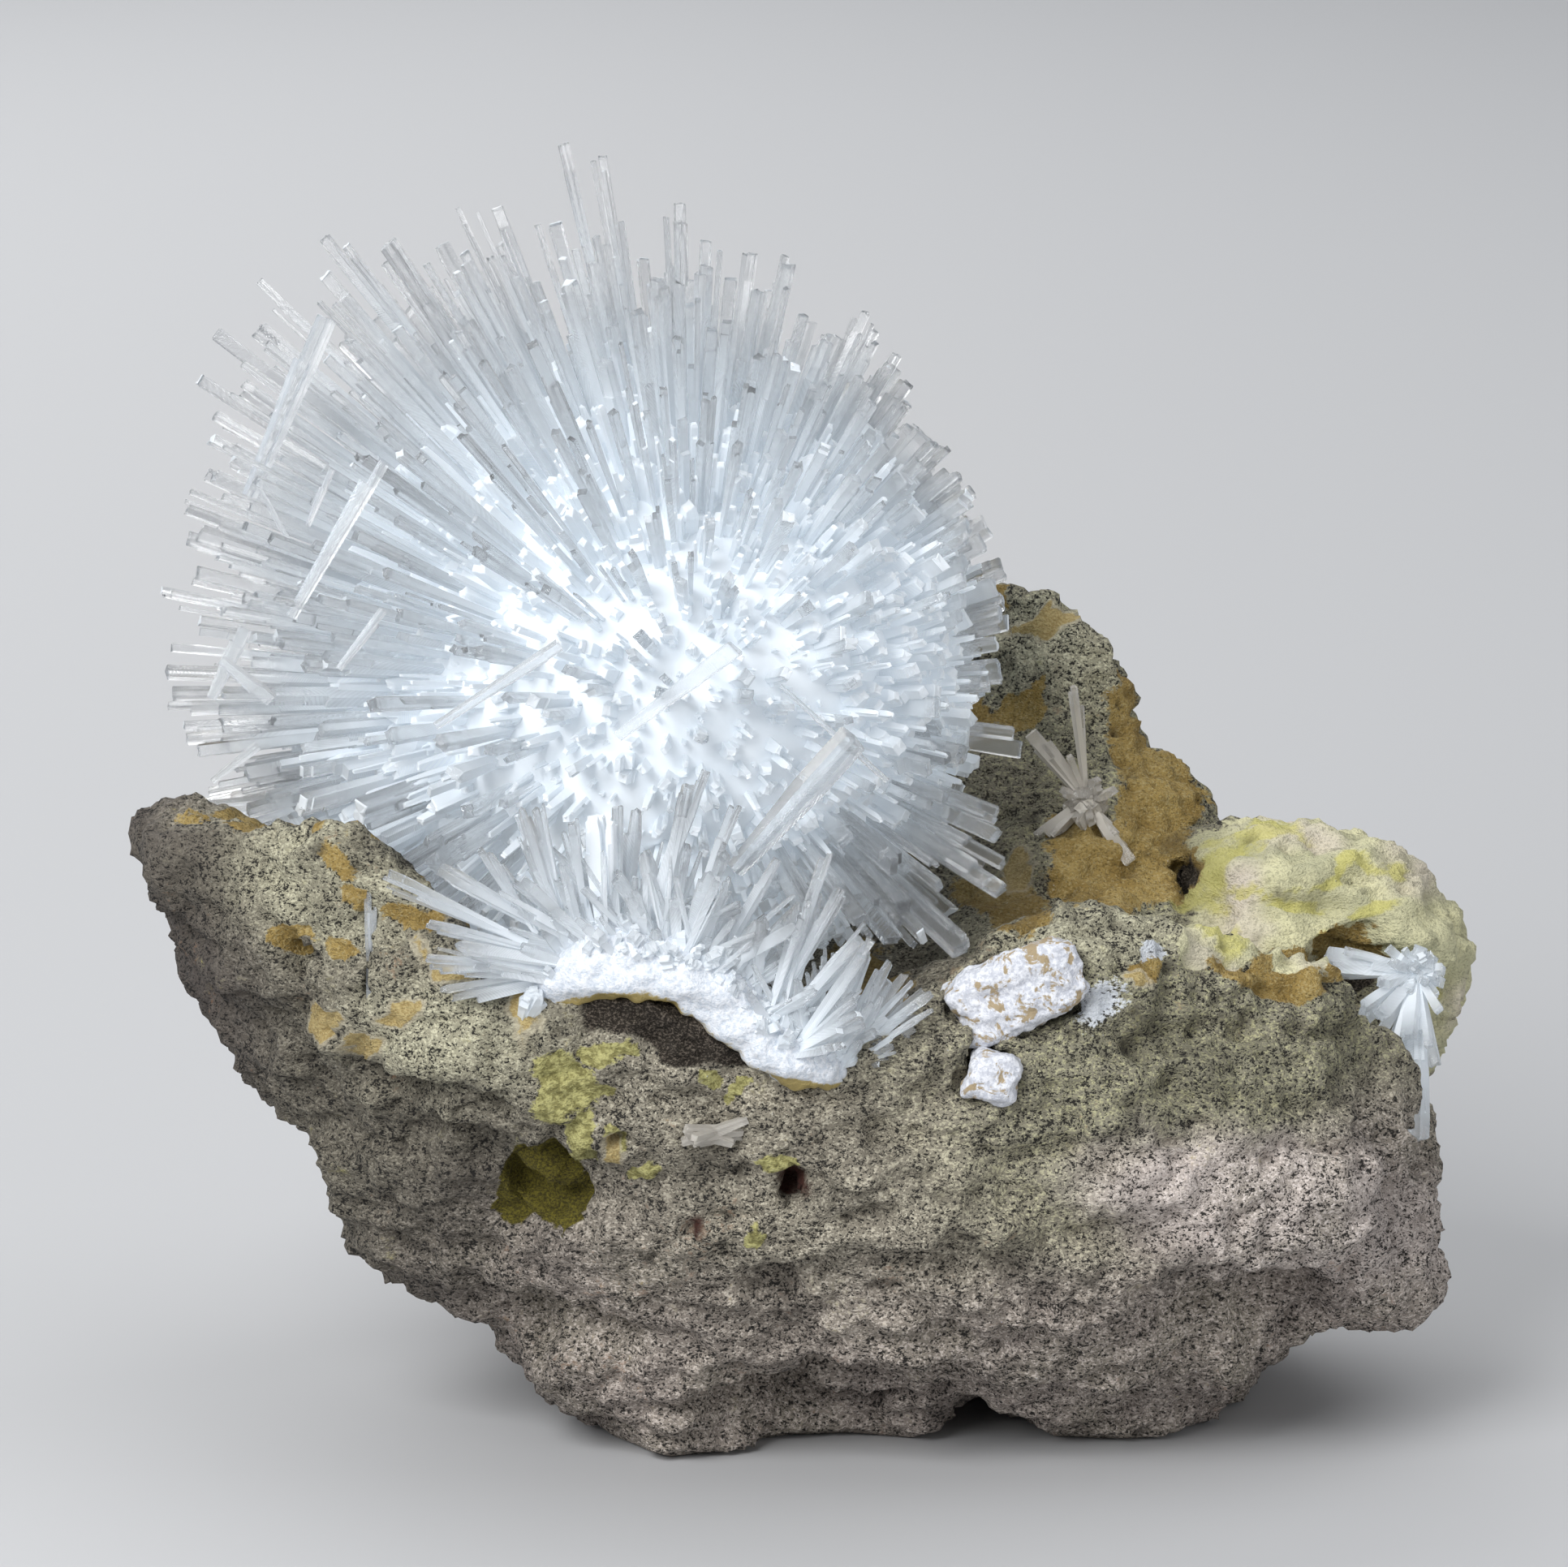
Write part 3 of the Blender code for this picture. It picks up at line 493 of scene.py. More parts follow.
# painted shade on the left end
left_end = surface.named("left_end")
stone = (left_end * 0.75).blend(stone, (0.075, 0.062, 0.055, 1))
stone = (dark_grain * 0.97).blend(stone, (0.012, 0.011, 0.010, 1))
rust = (surface.named("rust") + (coarse - 0.5) * 0.6).over(0.64, 0.74)
stone = (rust * 0.5).blend(stone, (0.22, 0.11, 0.055, 1))
lobe_tone = crumbs.over(0.38, 0.66).blend((0.70, 0.67, 0.42, 1), (0.46, 0.45, 0.29, 1))
lobe_tone = surface.named("patches").over(0.5, 0.66).blend(lobe_tone, (0.66, 0.59, 0.50, 1))
lobe_tone = (dark_grain * 0.35).blend(lobe_tone, (0.12, 0.115, 0.08, 1))
stone = (surface.named("lobe") + (coarse - 0.5) * 0.6).over(0.4, 0.6).blend(stone, lobe_tone)
lemon = (surface.named("lemon") + (crumbs - 0.5) * 2.2 + (coarse - 0.5)).over(0.25, 0.95)
stone = (lemon * 0.6).blend(stone, (0.56, 0.52, 0.10, 1))
ochre_tone = crumbs.over(0.35, 0.68).blend((0.25, 0.165, 0.045, 1), (0.38, 0.275, 0.095, 1))
ochre_tone = (fine.over(0.5, 0.36) * 0.6).blend(ochre_tone, (0.09, 0.06, 0.018, 1))
ochre_tone = (pale_grain * 0.35).blend(ochre_tone, (0.55, 0.46, 0.24, 1))
ochre = (surface.named("ochre") + (coarse - 0.5) * 1.2 + (crumbs - 0.5) * 1.2).over(0.35, 0.6)
stone = ochre.blend(stone, ochre_tone)
yellow_tone = coarse.over(0.4, 0.62).blend((0.25, 0.23, 0.085, 1), (0.47, 0.445, 0.19, 1))
yellow_tone = (dark_grain * 0.35).blend(yellow_tone, (0.12, 0.11, 0.04, 1))
yellow = (surface.named("yellow") + (crumbs - 0.5) * 2.0 + (coarse - 0.5)).over(0.42, 0.66)
stone = yellow.blend(stone, yellow_tone)
tan = surface.named("tan") + (coarse - 0.5) * 0.5
stone = (tan.over(0.15, 0.4) * 0.5).blend(stone, (0.58, 0.52, 0.38, 1))
tan_tone = fine.over(0.35, 0.65).blend((0.34, 0.25, 0.10, 1), (0.50, 0.40, 0.19, 1))
stone = (tan + (crumbs - 0.5) * 0.5).over(0.55, 0.8).blend(stone, tan_tone)
dust = (surface.named("dust") + (coarse - 0.5) * 1.8 + (fine - 0.5)).over(0.45, 0.75)
stone = (dust * 0.85).blend(stone, (0.66, 0.70, 0.76, 1))
deep = fine.over(0.45, 0.70).blend((0.016, 0.012, 0.008, 1), (0.15, 0.125, 0.10, 1))
stone = (surface.named("shadow") + (coarse - 0.5) * 0.6).over(0.3, 0.7).blend(stone, deep)
velvet_tone = fine.over(0.30, 0.75).blend((0.040, 0.032, 0.005, 1), (0.17, 0.145, 0.018, 1))
stone = (surface.named("velvet") + (coarse - 0.5) * 0.3).over(0.35, 0.6).blend(stone, velvet_tone)
stone = surface.named("rusty").blend(stone, (0.045, 0.014, 0.009, 1))
# painted shade in the bowl
stone = (surface.named("bowl") * 0.45).blend(stone, (0.030, 0.023, 0.012, 1))
# painted shade in the pin holes
stone = (surface.named("hollow") * 0.65).blend(stone, (0.04, 0.034, 0.028, 1))
bumps = surface.node("ShaderNodeBump", None, {
    "Strength": 1.0, "Distance": BUMP_HEIGHT, "Height": fine * 0.6 + coarse * 0.9})
finish_material(surface, surface.node("ShaderNodeBsdfPrincipled", None, {
    "Base Color": stone, "Roughness": 0.88, "Specular IOR Level": 0.35, "Normal": bumps}))
block.data.materials.clear()
block.data.materials.append(rock_material)
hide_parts("basalt_matrix")
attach(block, "root")

# The ball of scolecite. Some thousands of clear, striated needles radiate from one root on
# the floor of the vug. They are packed and milky inside, and part into single clear needles
# with stepped, chipped ends. All of them grew together, so the ball is one piece of nature.
ENVELOPE_SHIFT = np.array([-9.5, -3.0, 6.0]) * MM
ENVELOPE_RADIUS = 38.4 * MM
HEART_SHARE = 0.80  # of the way to the envelope, where the needles are one milky mass
GLASSY_LOSS = 0.20  # less of it on the upper left, where more of each needle is clear
GLASSY_SIDE = np.array([-0.50, 0.15, 0.85])
HEART_IN_ROCK = 0.5 * MM
HEART_ROWS, HEART_COLUMNS = 64, 128
PAINTED_GLOW = 0.11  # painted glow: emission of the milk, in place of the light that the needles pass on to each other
MILKY_NEEDLES = 2650
MILKY_WIDTHS = (1.1 * MM, 2.5 * MM)
MILKY_PROUD = (0.0, 0.11)
FINE_NEEDLES = 1900
FINE_WIDTHS = (0.4 * MM, 0.9 * MM)
FINE_PROUD = (0.03, 0.17)
CLEAR_BUNDLES = 720
CRYSTALS_A_BUNDLE = 3
BUNDLE_SPREAD = 0.022
CLEAR_WIDTHS = (0.8 * MM, 2.4 * MM)
THINNER = 0.45  # by this share on the glassy side
THINNER_IN_FRONT = 0.35  # for those that point at the viewer of the photograph
CLEAR_REACHES = (0.86, 1.0)  # shares of the way to the envelope
RAGGED = 0.06  # more of it each way on the glassy side
ROCK_CLEARANCE = 0.5 * MM
SHORTEST = 0.9  # of the heart's reach there: a needle that the rock cuts off below it goes
SECTION = np.array([  # of a needle, in half widths: a square with ribbed faces
    (-1.0, -1.0), (-0.2, -0.84), (0.4, -1.0), (1.0, -0.95),
    (1.0, 0.9), (0.25, 0.83), (-0.35, 1.0), (-0.95, 1.0),
])


def unit(vectors):
    return vectors / np.linalg.norm(vectors, axis=-1, keepdims=True)


def seen_from_front(angles, leans):
    """Directions at angles in the picture from +X, leaning to the front, in degrees."""
    angles, leans = np.radians(angles)[:, None], np.radians(leans)[:, None]
    across = np.cos(angles) * np.array([1.0, 0, 0]) + np.sin(angles) * picture_up
    return across * np.cos(leans) + to_camera * np.sin(leans)


def crystal_material(name, milk_tone, glow):
    """Clear crystal where the attribute milky is 0 and milk where it is 1, with fine lines
    along the needle and white chips. The milk glows a little: a painted glow by emission
    that stands in for scattered light."""
    material, surface, _ = new_material(name)
    round_needle = surface.node("ShaderNodeSeparateXYZ", None, {
        0: surface.node("ShaderNodeUVMap", {"uv_map": "along"})})
    wide_lines = surface.math("SINE", round_needle * 16, 0.0)
    thin_lines = surface.math("SINE", round_needle * 37, 0.0)
    lines = wide_lines + thin_lines * 0.6
    ribs = surface.node("ShaderNodeBump", None, {
        "Strength": 0.3, "Distance": 0.02 * MM, "Height": lines})
    clear = surface.node("ShaderNodeBsdfPrincipled", None, {
        "Base Color": (0.995, 0.998, 1.0, 1), "Roughness": 0.03, "IOR": 1.51,
        "Transmission Weight": 1.0, "Normal": ribs})
    milk = surface.node("ShaderNodeBsdfPrincipled", None, {
        "Base Color": milk_tone, "Roughness": 0.35, "IOR": 1.51, "Normal": ribs,
        "Emission Color": milk_tone, "Emission Strength": glow})
    chips = surface.named("chipped").over(0.3, 0.6)
    milky = surface.named("milky")
    white = surface.math("MAXIMUM", milky * 0.94 + 0.04 + lines * 0.03, chips * 0.75)
    finish_material(surface, surface.node("ShaderNodeMixShader", None, {
        0: white, 1: clear, 2: milk}))
    return material


# painted glow: both milks emit a little light in place of scattered light, the dull one faintly
scolecite = crystal_material("scolecite", (0.83, 0.88, 0.925, 1), PAINTED_GLOW)
dull_scolecite = crystal_material("dull_scolecite", (0.74, 0.70, 0.63, 1), 0.03)


def skin_faces(rows, columns):
    """The four-sided faces between rows that run round, and the triangles that close the
    first and the last row to a pole each. The poles come after all the rows."""
    here = np.arange(columns)
    following = (here + 1) % columns
    base = columns * np.arange(rows - 1)[:, None]
    bands = np.stack([base + here, base + following, base + columns + following,
                      base + columns + here], axis=-1).reshape(-1, 4)
    last = columns * (rows - 1)
    pole = np.full(columns, rows * columns)
    caps = np.concatenate([np.stack([following, here, pole], axis=-1),
                           np.stack([last + here, last + following, pole + 1], axis=-1)])
    return bands, caps


def needles(name, roots, axes, starts, ends, widths, milky, rng, flat=0.75, narrow=0.88,
            material=None):
    """Many needles as one mesh. Each is a ribbed section carried along a straight path by
    point = root + axis * along + across * u + aside * v, in five rings: the whole section
    up to a step, what is left after one side is cut off at the step, and a slanted, chipped
    end. Milkiness falls from 1 to 0 between the two distances in milky."""
    count = len(axes)
    roots = np.broadcast_to(roots, axes.shape)
    helper = np.where(np.abs(axes[:, 2:3]) < 0.8, [[0.0, 0, 1]], [[1.0, 0, 0]])
    across = unit(np.cross(axes, helper))
    aside = np.cross(axes, across)
    turn = rng.uniform(0, math.pi, (count, 1))
    across, aside = (across * np.cos(turn) + aside * np.sin(turn),
                     aside * np.cos(turn) - across * np.sin(turn))
    whole = SECTION + rng.uniform(-0.07, 0.07, (count, *SECTION.shape))
    whole[:, :, 1] *= rng.uniform(flat, 1.0, (count, 1))
    stepped = whole.copy()
    stepped[:, :, 0] = np.minimum(stepped[:, :, 0], rng.uniform(-0.2, 1.0, (count, 1)))
    length = (ends - starts)[:, None]
    chip = rng.uniform(-0.2, 0.0, (count, len(SECTION))) * widths[:, None]
    slant = whole[:, :, 0] * rng.uniform(-0.22, 0.22, (count, 1)) * widths[:, None] / 2
    step = np.minimum(length * rng.uniform(0.6, 0.97, (count, 1)), length - widths[:, None] / 2)
    step = np.maximum(step + chip, length * 0.3)
    tip = np.maximum(length + slant + chip, step)
    shoulder = np.maximum(tip - 0.07 * widths[:, None], step)
    rings = np.stack([whole * 0.6, whole, stepped, stepped * (0.12 + narrow), stepped * narrow],
                     axis=1)
    along = np.stack([np.zeros_like(tip), step, step, shoulder, tip], axis=1)
    half_width = (widths / 2)[:, None, None]
    path = (starts[:, None, None] + along)[..., None] * axes[:, None, None]
    body = roots[:, None, None] + path
    body += (rings[..., 0] * half_width)[..., None] * across[:, None, None]
    body += (rings[..., 1] * half_width)[..., None] * aside[:, None, None]
    points = np.concatenate([body.reshape(count, -1, 3), body[:, [0, -1]].mean(axis=2)], axis=1)

    ring_count, side_count = rings.shape[1], len(SECTION)
    bands, caps = skin_faces(ring_count, side_count)
    shift = (points.shape[1] * np.arange(count))[:, None, None]
    faces = (bands + shift).reshape(-1, 4).tolist() + (caps + shift).reshape(-1, 3).tolist()
    obj = as_mesh(name, points.reshape(-1, 3), faces, material or scolecite)

    distance = ((points - roots[:, None]) @ axes[:, :, None])[..., 0]
    clear_from, clear_to = (np.broadcast_to(edge, count)[:, None] for edge in milky)
    painted(obj, "milky", (1 - smoothstep(distance, clear_from, clear_to)).ravel())
    white = rng.uniform(0, 1, (count, 1)) ** 6
    ledge = np.isin(np.arange(ring_count - 1), (1, 3)).repeat(side_count) * white
    cap = np.repeat([0.0, 1.0], side_count) * white
    painted(obj, "chipped", np.concatenate([ledge.ravel(), cap.ravel()]), "FACE")
    girth = np.arange(side_count) / side_count * 4 + rng.uniform(0, 50, (count, ring_count, 1))
    wrap = np.stack([np.broadcast_to(girth, along.shape), along / MM], axis=-1)
    wrap = np.concatenate([wrap.reshape(count, -1, 2), wrap[:, [0, -1], 0]], axis=1)
    corner = np.zeros(len(obj.data.loops), np.int32)
    obj.data.loops.foreach_get("vertex_index", corner)
    obj.data.uv_layers.new(name="along").data.foreach_set(
        "uv", wrap.reshape(-1, 2)[corner].astype(np.float32).ravel())
    return obj


def envelope(axes):
    """How far the ball reaches from its root along each axis: out to a shifted sphere."""
    along = axes @ ENVELOPE_SHIFT
    return along + np.sqrt(along**2 - ENVELOPE_SHIFT @ ENVELOPE_SHIFT + ENVELOPE_RADIUS**2)


def even_axes(count, rng):
    """Directions spread over a sphere on a golden spiral, each moved a little."""
    turn = np.arange(count) * math.pi * (3 - math.sqrt(5))
    z = 1 - (2 * np.arange(count) + 1) / count
    side = np.sqrt(1 - z * z)
    axes = np.stack([side * np.cos(turn), side * np.sin(turn), z], axis=1)
    return unit(axes + rng.normal(0, 0.026, axes.shape))


rock_bm = bmesh.new()
rock_bm.from_mesh(block.data)
rock_tree = BVHTree.FromBMesh(rock_bm)
rock_bm.free()


def free_reach(root, axes, ends, margin):
    """The ends, brought back to a margin before the rock where it is in the way."""
    free = ends.copy()
    for i, axis in enumerate(axes):
        hit = rock_tree.ray_cast(Vector(root), Vector(axis), ends[i] + max(margin, 0))
        if hit[0]:
            free[i] = hit[3] - margin
    return free


def rows_and_columns(points, material, name):
    """A closed skin over a grid of points: rows run round, and each end row meets a pole."""
    bands, caps = skin_faces(*points.shape[:2])
    poles = points[[0, -1]].mean(axis=1)
    skin = np.concatenate([points.reshape(-1, 3), poles])
    return as_mesh(name, skin, bands.tolist() + caps.tolist(), material, smooth=True)


rng = np.random.default_rng(7)
rows = np.linspace(math.pi, 0, HEART_ROWS)[:, None]
columns = np.linspace(0, 2 * math.pi, HEART_COLUMNS, endpoint=False)[None]
heart_axes = np.stack([np.sin(rows) * np.cos(columns), np.sin(rows) * np.sin(columns),
                       np.cos(rows) + 0 * columns], axis=-1).reshape(-1, 3)


def glassiness(axes):
    """From 0 to 1 towards the upper left of the ball, where it is clearest."""
    return smoothstep(axes @ unit(GLASSY_SIDE), -0.25, 0.75)


def milky_share(axes):
    return HEART_SHARE - GLASSY_LOSS * glassiness(axes)


def packed_in(name, count, proud, widths, start, thinner, narrow, rng):
    """Milky needles all round the heart, each standing a little proud of it."""
    axes = even_axes(count, rng)
    reach = envelope(axes)
    ends = reach * (milky_share(axes) + rng.uniform(*proud, len(axes)))
    ends = free_reach(BALL_ROOT, axes, ends, ROCK_CLEARANCE)
    kept = ends > reach * milky_share(axes) * SHORTEST
    axes, reach, ends = axes[kept], reach[kept], ends[kept]
    widths = rng.uniform(*widths, len(axes))
    widths *= 1 - thinner * smoothstep(axes @ to_camera, 0.55, 0.95)
    return needles(name, BALL_ROOT, axes, reach * start, ends, widths, (reach * 2, reach * 3),
                   rng, narrow=narrow)


heart_reach = milky_share(heart_axes) * envelope(heart_axes)
heart_reach *= 1 + 0.03 * noise(heart_axes, 0.10, 201) + 0.02 * noise(heart_axes, 0.045, 202)
heart_reach = free_reach(BALL_ROOT, heart_axes, heart_reach, -HEART_IN_ROCK)
heart_skin = BALL_ROOT + heart_axes * heart_reach[:, None]
heart = rows_and_columns(heart_skin.reshape(HEART_ROWS, HEART_COLUMNS, 3), scolecite,
                         "milky_heart")
painted(heart, "milky", np.ones(len(heart.data.vertices)))
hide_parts("main_spray")
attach(heart, "root")

packed = packed_in("packed_needles", MILKY_NEEDLES, MILKY_PROUD, MILKY_WIDTHS, start=0.45,
                   thinner=THINNER_IN_FRONT, narrow=0.55, rng=rng)
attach(packed, "root")

fine_ones = packed_in("fine_needles", FINE_NEEDLES, FINE_PROUD, FINE_WIDTHS, start=0.5,
                      thinner=0, narrow=0.6, rng=rng)
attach(fine_ones, "root")

axes = np.repeat(even_axes(CLEAR_BUNDLES, rng), CRYSTALS_A_BUNDLE, axis=0)
axes = unit(axes + rng.normal(0, BUNDLE_SPREAD, axes.shape))
reach, milky = envelope(axes), milky_share(axes)
glassy = glassiness(axes)
low, high = CLEAR_REACHES[0] - RAGGED * glassy, CLEAR_REACHES[1] + RAGGED * glassy
ends = reach * (low + (high - low) * rng.beta(1.3, 1.4, len(axes)))
ends = free_reach(BALL_ROOT, axes, ends, ROCK_CLEARANCE)
chance = 2.2 - 2.15 * milky  # from 0.9 on the glassy side to 0.5 where the milk reaches far
kept = (ends > reach * milky * SHORTEST) & (rng.uniform(0, 1, len(axes)) < chance)
axes, reach, milky, ends = axes[kept], reach[kept], milky[kept], ends[kept]
widths = rng.uniform(*CLEAR_WIDTHS, len(axes)) * (1 - THINNER * glassy[kept])
widths *= 1 - THINNER_IN_FRONT * smoothstep(axes @ to_camera, 0.55, 0.95)
fade = (reach * (milky + rng.uniform(-0.03, 0.05, len(axes))),
        reach * (milky + rng.uniform(0.16, 0.34, len(axes))))
parted = needles("parted_needles", BALL_ROOT, axes, reach * (milky - 0.07), ends, widths,
                 fade, rng)
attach(parted, "root")

# The long crystals of the ball. They stand out past the rest, mostly at the upper left,
# each with a few thinner ones grown along it, so that it ends in steps.
LONG_CRYSTALS = (  # angle in the picture, lean to the front, reach and width
    (102.6, 0, 52.4, 1.1), (99.5, 5, 50.5, 1.2), (92, -6, 46.0, 1.1), (116.4, 0, 50.0, 1.3),
    (120, 9, 48.0, 1.7), (128, 4, 54.2, 1.3), (132.7, 10, 52.0, 1.8), (136.9, -5, 56.0, 1.1),
    (144.9, 4, 55.2, 1.7), (148.8, -2, 54.3, 1.4), (156.6, 2, 49.2, 1.6), (161, 8, 48.2, 1.8),
    (169.8, 0, 50.0, 1.1), (192.3, -4, 48.4, 1.4), (185, 6, 43.2, 1.6), (190.4, 10, 43.4, 2.3),
    (65.3, 0, 39.0, 1.1), (60, 5, 37.0, 1.5), (47, 0, 31.3, 2.0), (36.6, 3, 31.5, 1.7),
    (12.1, 4, 30.3, 2.2), (3.5, 6, 29.0, 2.0), (-22, 14, 31.5, 1.9), (-29, 10, 33.6, 1.4),
    (-41, 16, 33.0, 2.2), (203, 20, 35.0, 2.2), (213, 20, 32.0, 1.8), (78, 4, 41.0, 1.6),
    (54, -3, 35.4, 2.0), (46, 6, 32.8, 2.4), (36.7, 6, 32.4, 2.2), (31, 0, 31.8, 2.4),
    (26, 8, 31.0, 2.2), (21, 2, 31.4, 2.4), (16, 8, 30.6, 2.0), (-8, 0, 31.2, 2.2),
    (152, 6, 50.5, 1.9), (140.5, 3, 52.5, 1.9), (124, 7, 50.5, 1.7), (112, 4, 48.5, 1.6),
)
LOW_CRYSTALS = (  # pixels of the tip in the photograph, its distance in front and width
    (1153, 910, 12, 2.3), (1177, 943, 14, 2.0), (1235, 1022, 14, 2.2), (1238, 1098, 16, 2.0),
    (1193, 1160, 20, 2.4), (1133, 1110, 24, 2.6), (1112, 1062, 26, 2.2), (1172, 985, 16, 1.8),
    (1243, 772, 2, 2.2), (1232, 832, 6, 2.4), (1135, 1172, 26, 2.2), (1062, 1130, 32, 2.2),
    (1092, 1165, 28, 2.0), (1010, 1150, 34, 1.8), (1160, 1080, 20, 1.6), (1205, 1062, 16, 1.8),
    (438, 1020, 26, 2.4), (450, 1080, 28, 2.0), (480, 1120, 30, 2.2), (520, 1062, 34, 2.4),
    (300, 962, 12, 2.0), (330, 985, 14, 1.6), (275, 915, 8, 1.8), (560, 1130, 34, 1.8),
)
COMPANIONS = 3
COMPANION_SPREAD = math.radians(1.1)


def from_picture(pixels, ahead):
    """The place that a pixel shows, so far ahead of the camera's target."""
    off = (np.asarray(pixels, float) - PICTURE_MIDDLE) * PIXEL
    off = off * (1 - np.asarray(ahead)[..., None] / VIEW_DISTANCE)
    flat_place = off[..., :1] * np.array([1.0, 0, 0]) - off[..., 1:] * picture_up
    return VIEW_TARGET + flat_place + np.asarray(ahead)[..., None] * to_camera


angles, leans, reaches, thick = np.array(LONG_CRYSTALS).T
across, down, ahead, low_thick = np.array(LOW_CRYSTALS).T
low_tips = from_picture(np.stack([across, down], axis=1), ahead * MM) - BALL_ROOT
axes = np.concatenate([seen_from_front(angles, leans), unit(low_tips)])
axes = np.repeat(axes, COMPANIONS, axis=0)
axes = unit(axes + rng.normal(0, COMPANION_SPREAD, axes.shape))
rank = np.tile(np.arange(COMPANIONS), len(axes) // COMPANIONS)
reaches = np.concatenate([reaches, np.linalg.norm(low_tips, axis=1) / MM])
thick = np.concatenate([thick, low_thick])
ends = np.repeat(reaches, COMPANIONS) * MM
ends *= 1 - 0.07 * rank * rng.uniform(0.3, 1, len(rank))
widths = np.repeat(thick, COMPANIONS) * MM
widths *= np.where(rank == 0, 0.85, rng.uniform(0.3, 0.6, len(rank)))
ends = free_reach(BALL_ROOT, axes, ends, ROCK_CLEARANCE)
reach = envelope(axes)
long_crystals = needles("long_crystals", BALL_ROOT, axes, reach * 0.5, ends, widths,
                        (reach * 0.55, reach * 0.85), rng)
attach(long_crystals, "root")

# Broken crystals that fell across the ball and were grown over. They lie against the tips
# of the needles, at all angles.
CROSSING_CRYSTALS = (  # middle in mm, angle in the picture, lean, length and width
    ((-45.4, -6.0, 94.0), 67, 5, 18.0, 1.9), ((-9.6, -36.5, 73.6), 37, 4, 13.4, 1.7),
    ((-25.6, -33.0, 73.4), 33, 0, 13.5, 1.2), ((1.0, -38.0, 63.6), 48, 8, 16.4, 2.2),
    ((-50.6, -4.0, 69.5), 65, 0, 7.2, 1.5), ((-40.4, -14.0, 83.0), 60, 4, 16.5, 1.3),
    ((-48.8, -5.0, 68.0), -40, 0, 6.0, 1.3), ((-46.0, -10.0, 84.0), -62, 0, 6.4, 0.5),
    ((-42.0, -12.0, 86.5), 68, 0, 5.6, 0.6), ((-38.0, -18.0, 74.5), 52, 0, 6.8, 0.8),
    ((4.5, -40.0, 70.5), -42, 0, 13.0, 0.5), ((-50.0, -8.0, 61.0), 38, 0, 5.4, 0.8),
    ((-48.7, 0.0, 55.3), 3, 0, 15.4, 1.5),
)
CROSSING_MILK = 0.22
LYING_SHARE = 0.97  # of the ball's reach, where the ones across its front lie
RIM = 15 * MM  # half the ball's depth there, below which a crystal stays as the table has it

middles, angles, leans, lengths, thick = zip(*CROSSING_CRYSTALS)
middles = np.array(middles) * MM
from_middle = middles - BALL_ROOT - ENVELOPE_SHIFT
to_plane = from_middle @ to_camera
under_root = to_plane**2 - (from_middle**2).sum(axis=1) + (LYING_SHARE * ENVELOPE_RADIUS) ** 2
lift = np.where(under_root > RIM**2, np.sqrt(np.clip(under_root, 0, None)) - to_plane, 0)
middles += lift[:, None] * to_camera
half_lengths = np.array(lengths) * MM / 2
axes = seen_from_front(np.array(angles), np.array(leans))
crossing = needles("crossing_crystals", middles, axes, -half_lengths, half_lengths,
                   np.array(thick) * MM, (-(1 - CROSSING_MILK), CROSSING_MILK), rng)
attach(crossing, "root")

# The front spray. A frosty white crust hangs over the dark hollow in the front face, and
# two dense fans of bright needles spring from it, up against the foot of the ball.
CRUST_LINE = np.array([  # x, y, z and half width along the lip, in mm
    (-21.5, -40.0, 46.6, 1.6), (-20.0, -41.2, 48.0, 2.4), (-15.0, -42.5, 50.2, 3.4),
    (-9.0, -43.0, 49.2, 3.3), (-3.5, -43.2, 44.9, 2.5), (0.7, -43.0, 41.2, 2.4),
    (4.0, -41.5, 40.2, 1.7), (5.6, -40.6, 40.4, 1.0),
]) * MM
FANS = (  # place of the needles' roots along the lip, angles, reaches, widths and count
    ((0.10, 0.44), (184, 104), (4, 13), (0.4, 1.3), 90),
    ((0.16, 0.52), (118, 48), (4, 12), (0.4, 1.4), 90),
    ((0.40, 0.60), (66, 14), (3, 8), (0.4, 1.2), 34),
    ((0.72, 0.93), (128, 60), (4, 12), (0.4, 1.2), 60),
    ((0.76, 0.96), (72, 34), (4, 11), (0.4, 1.2), 46),
    ((0.82, 0.97), (38, -4), (2.5, 7), (0.4, 1.0), 30),
)
BLADES = (  # pixels of the foot and of the tip in the photograph, and width
    (743, 1135, 739, 1007, 2.7), (752, 1135, 750, 1020, 1.6), (800, 1130, 870, 948, 1.9),
    (813, 1142, 845, 973, 1.4), (687, 1136, 643, 1000, 1.7), (694, 1124, 664, 998, 1.2),
    (667, 1142, 540, 1067, 1.8), (660, 1150, 593, 1045, 1.6), (667, 1175, 527, 1143, 1.5),
    (720, 1118, 700, 1010, 1.1), (763, 1124, 764, 998, 1.1), (853, 1130, 911, 998, 1.4),
    (840, 1150, 908, 1119, 1.2), (847, 1185, 934, 1146, 1.6), (867, 1118, 893, 1046, 1.3),
    (640, 1190, 530, 1185, 1.3), (655, 1165, 470, 1090, 1.7), (960, 1283, 1004, 1098, 1.8),
    (947, 1256, 981, 1126, 1.5), (973, 1256, 1061, 1146, 1.9), (987, 1282, 1074, 1166, 1.5),
    (980, 1296, 1068, 1262, 1.5), (973, 1302, 1034, 1288, 1.1), (933, 1230, 934, 1132, 1.4),
    (967, 1216, 1021, 1058, 1.3), (950, 1250, 1040, 1100, 1.5), (985, 1290, 1062, 1225, 1.6),
)
BLADES_AHEAD = (40.0 * MM, 44.0 * MM)  # of the camera's target, at the foot and at the tip
BLADE_RANKS = np.array([0.8, 0.45, 0.35])  # widths of a blade and of those beside it
WHITE_FOOT = 1135  # blades with their foot on this row of pixels are white all the way
FAN_LEANS = (-20, 30)
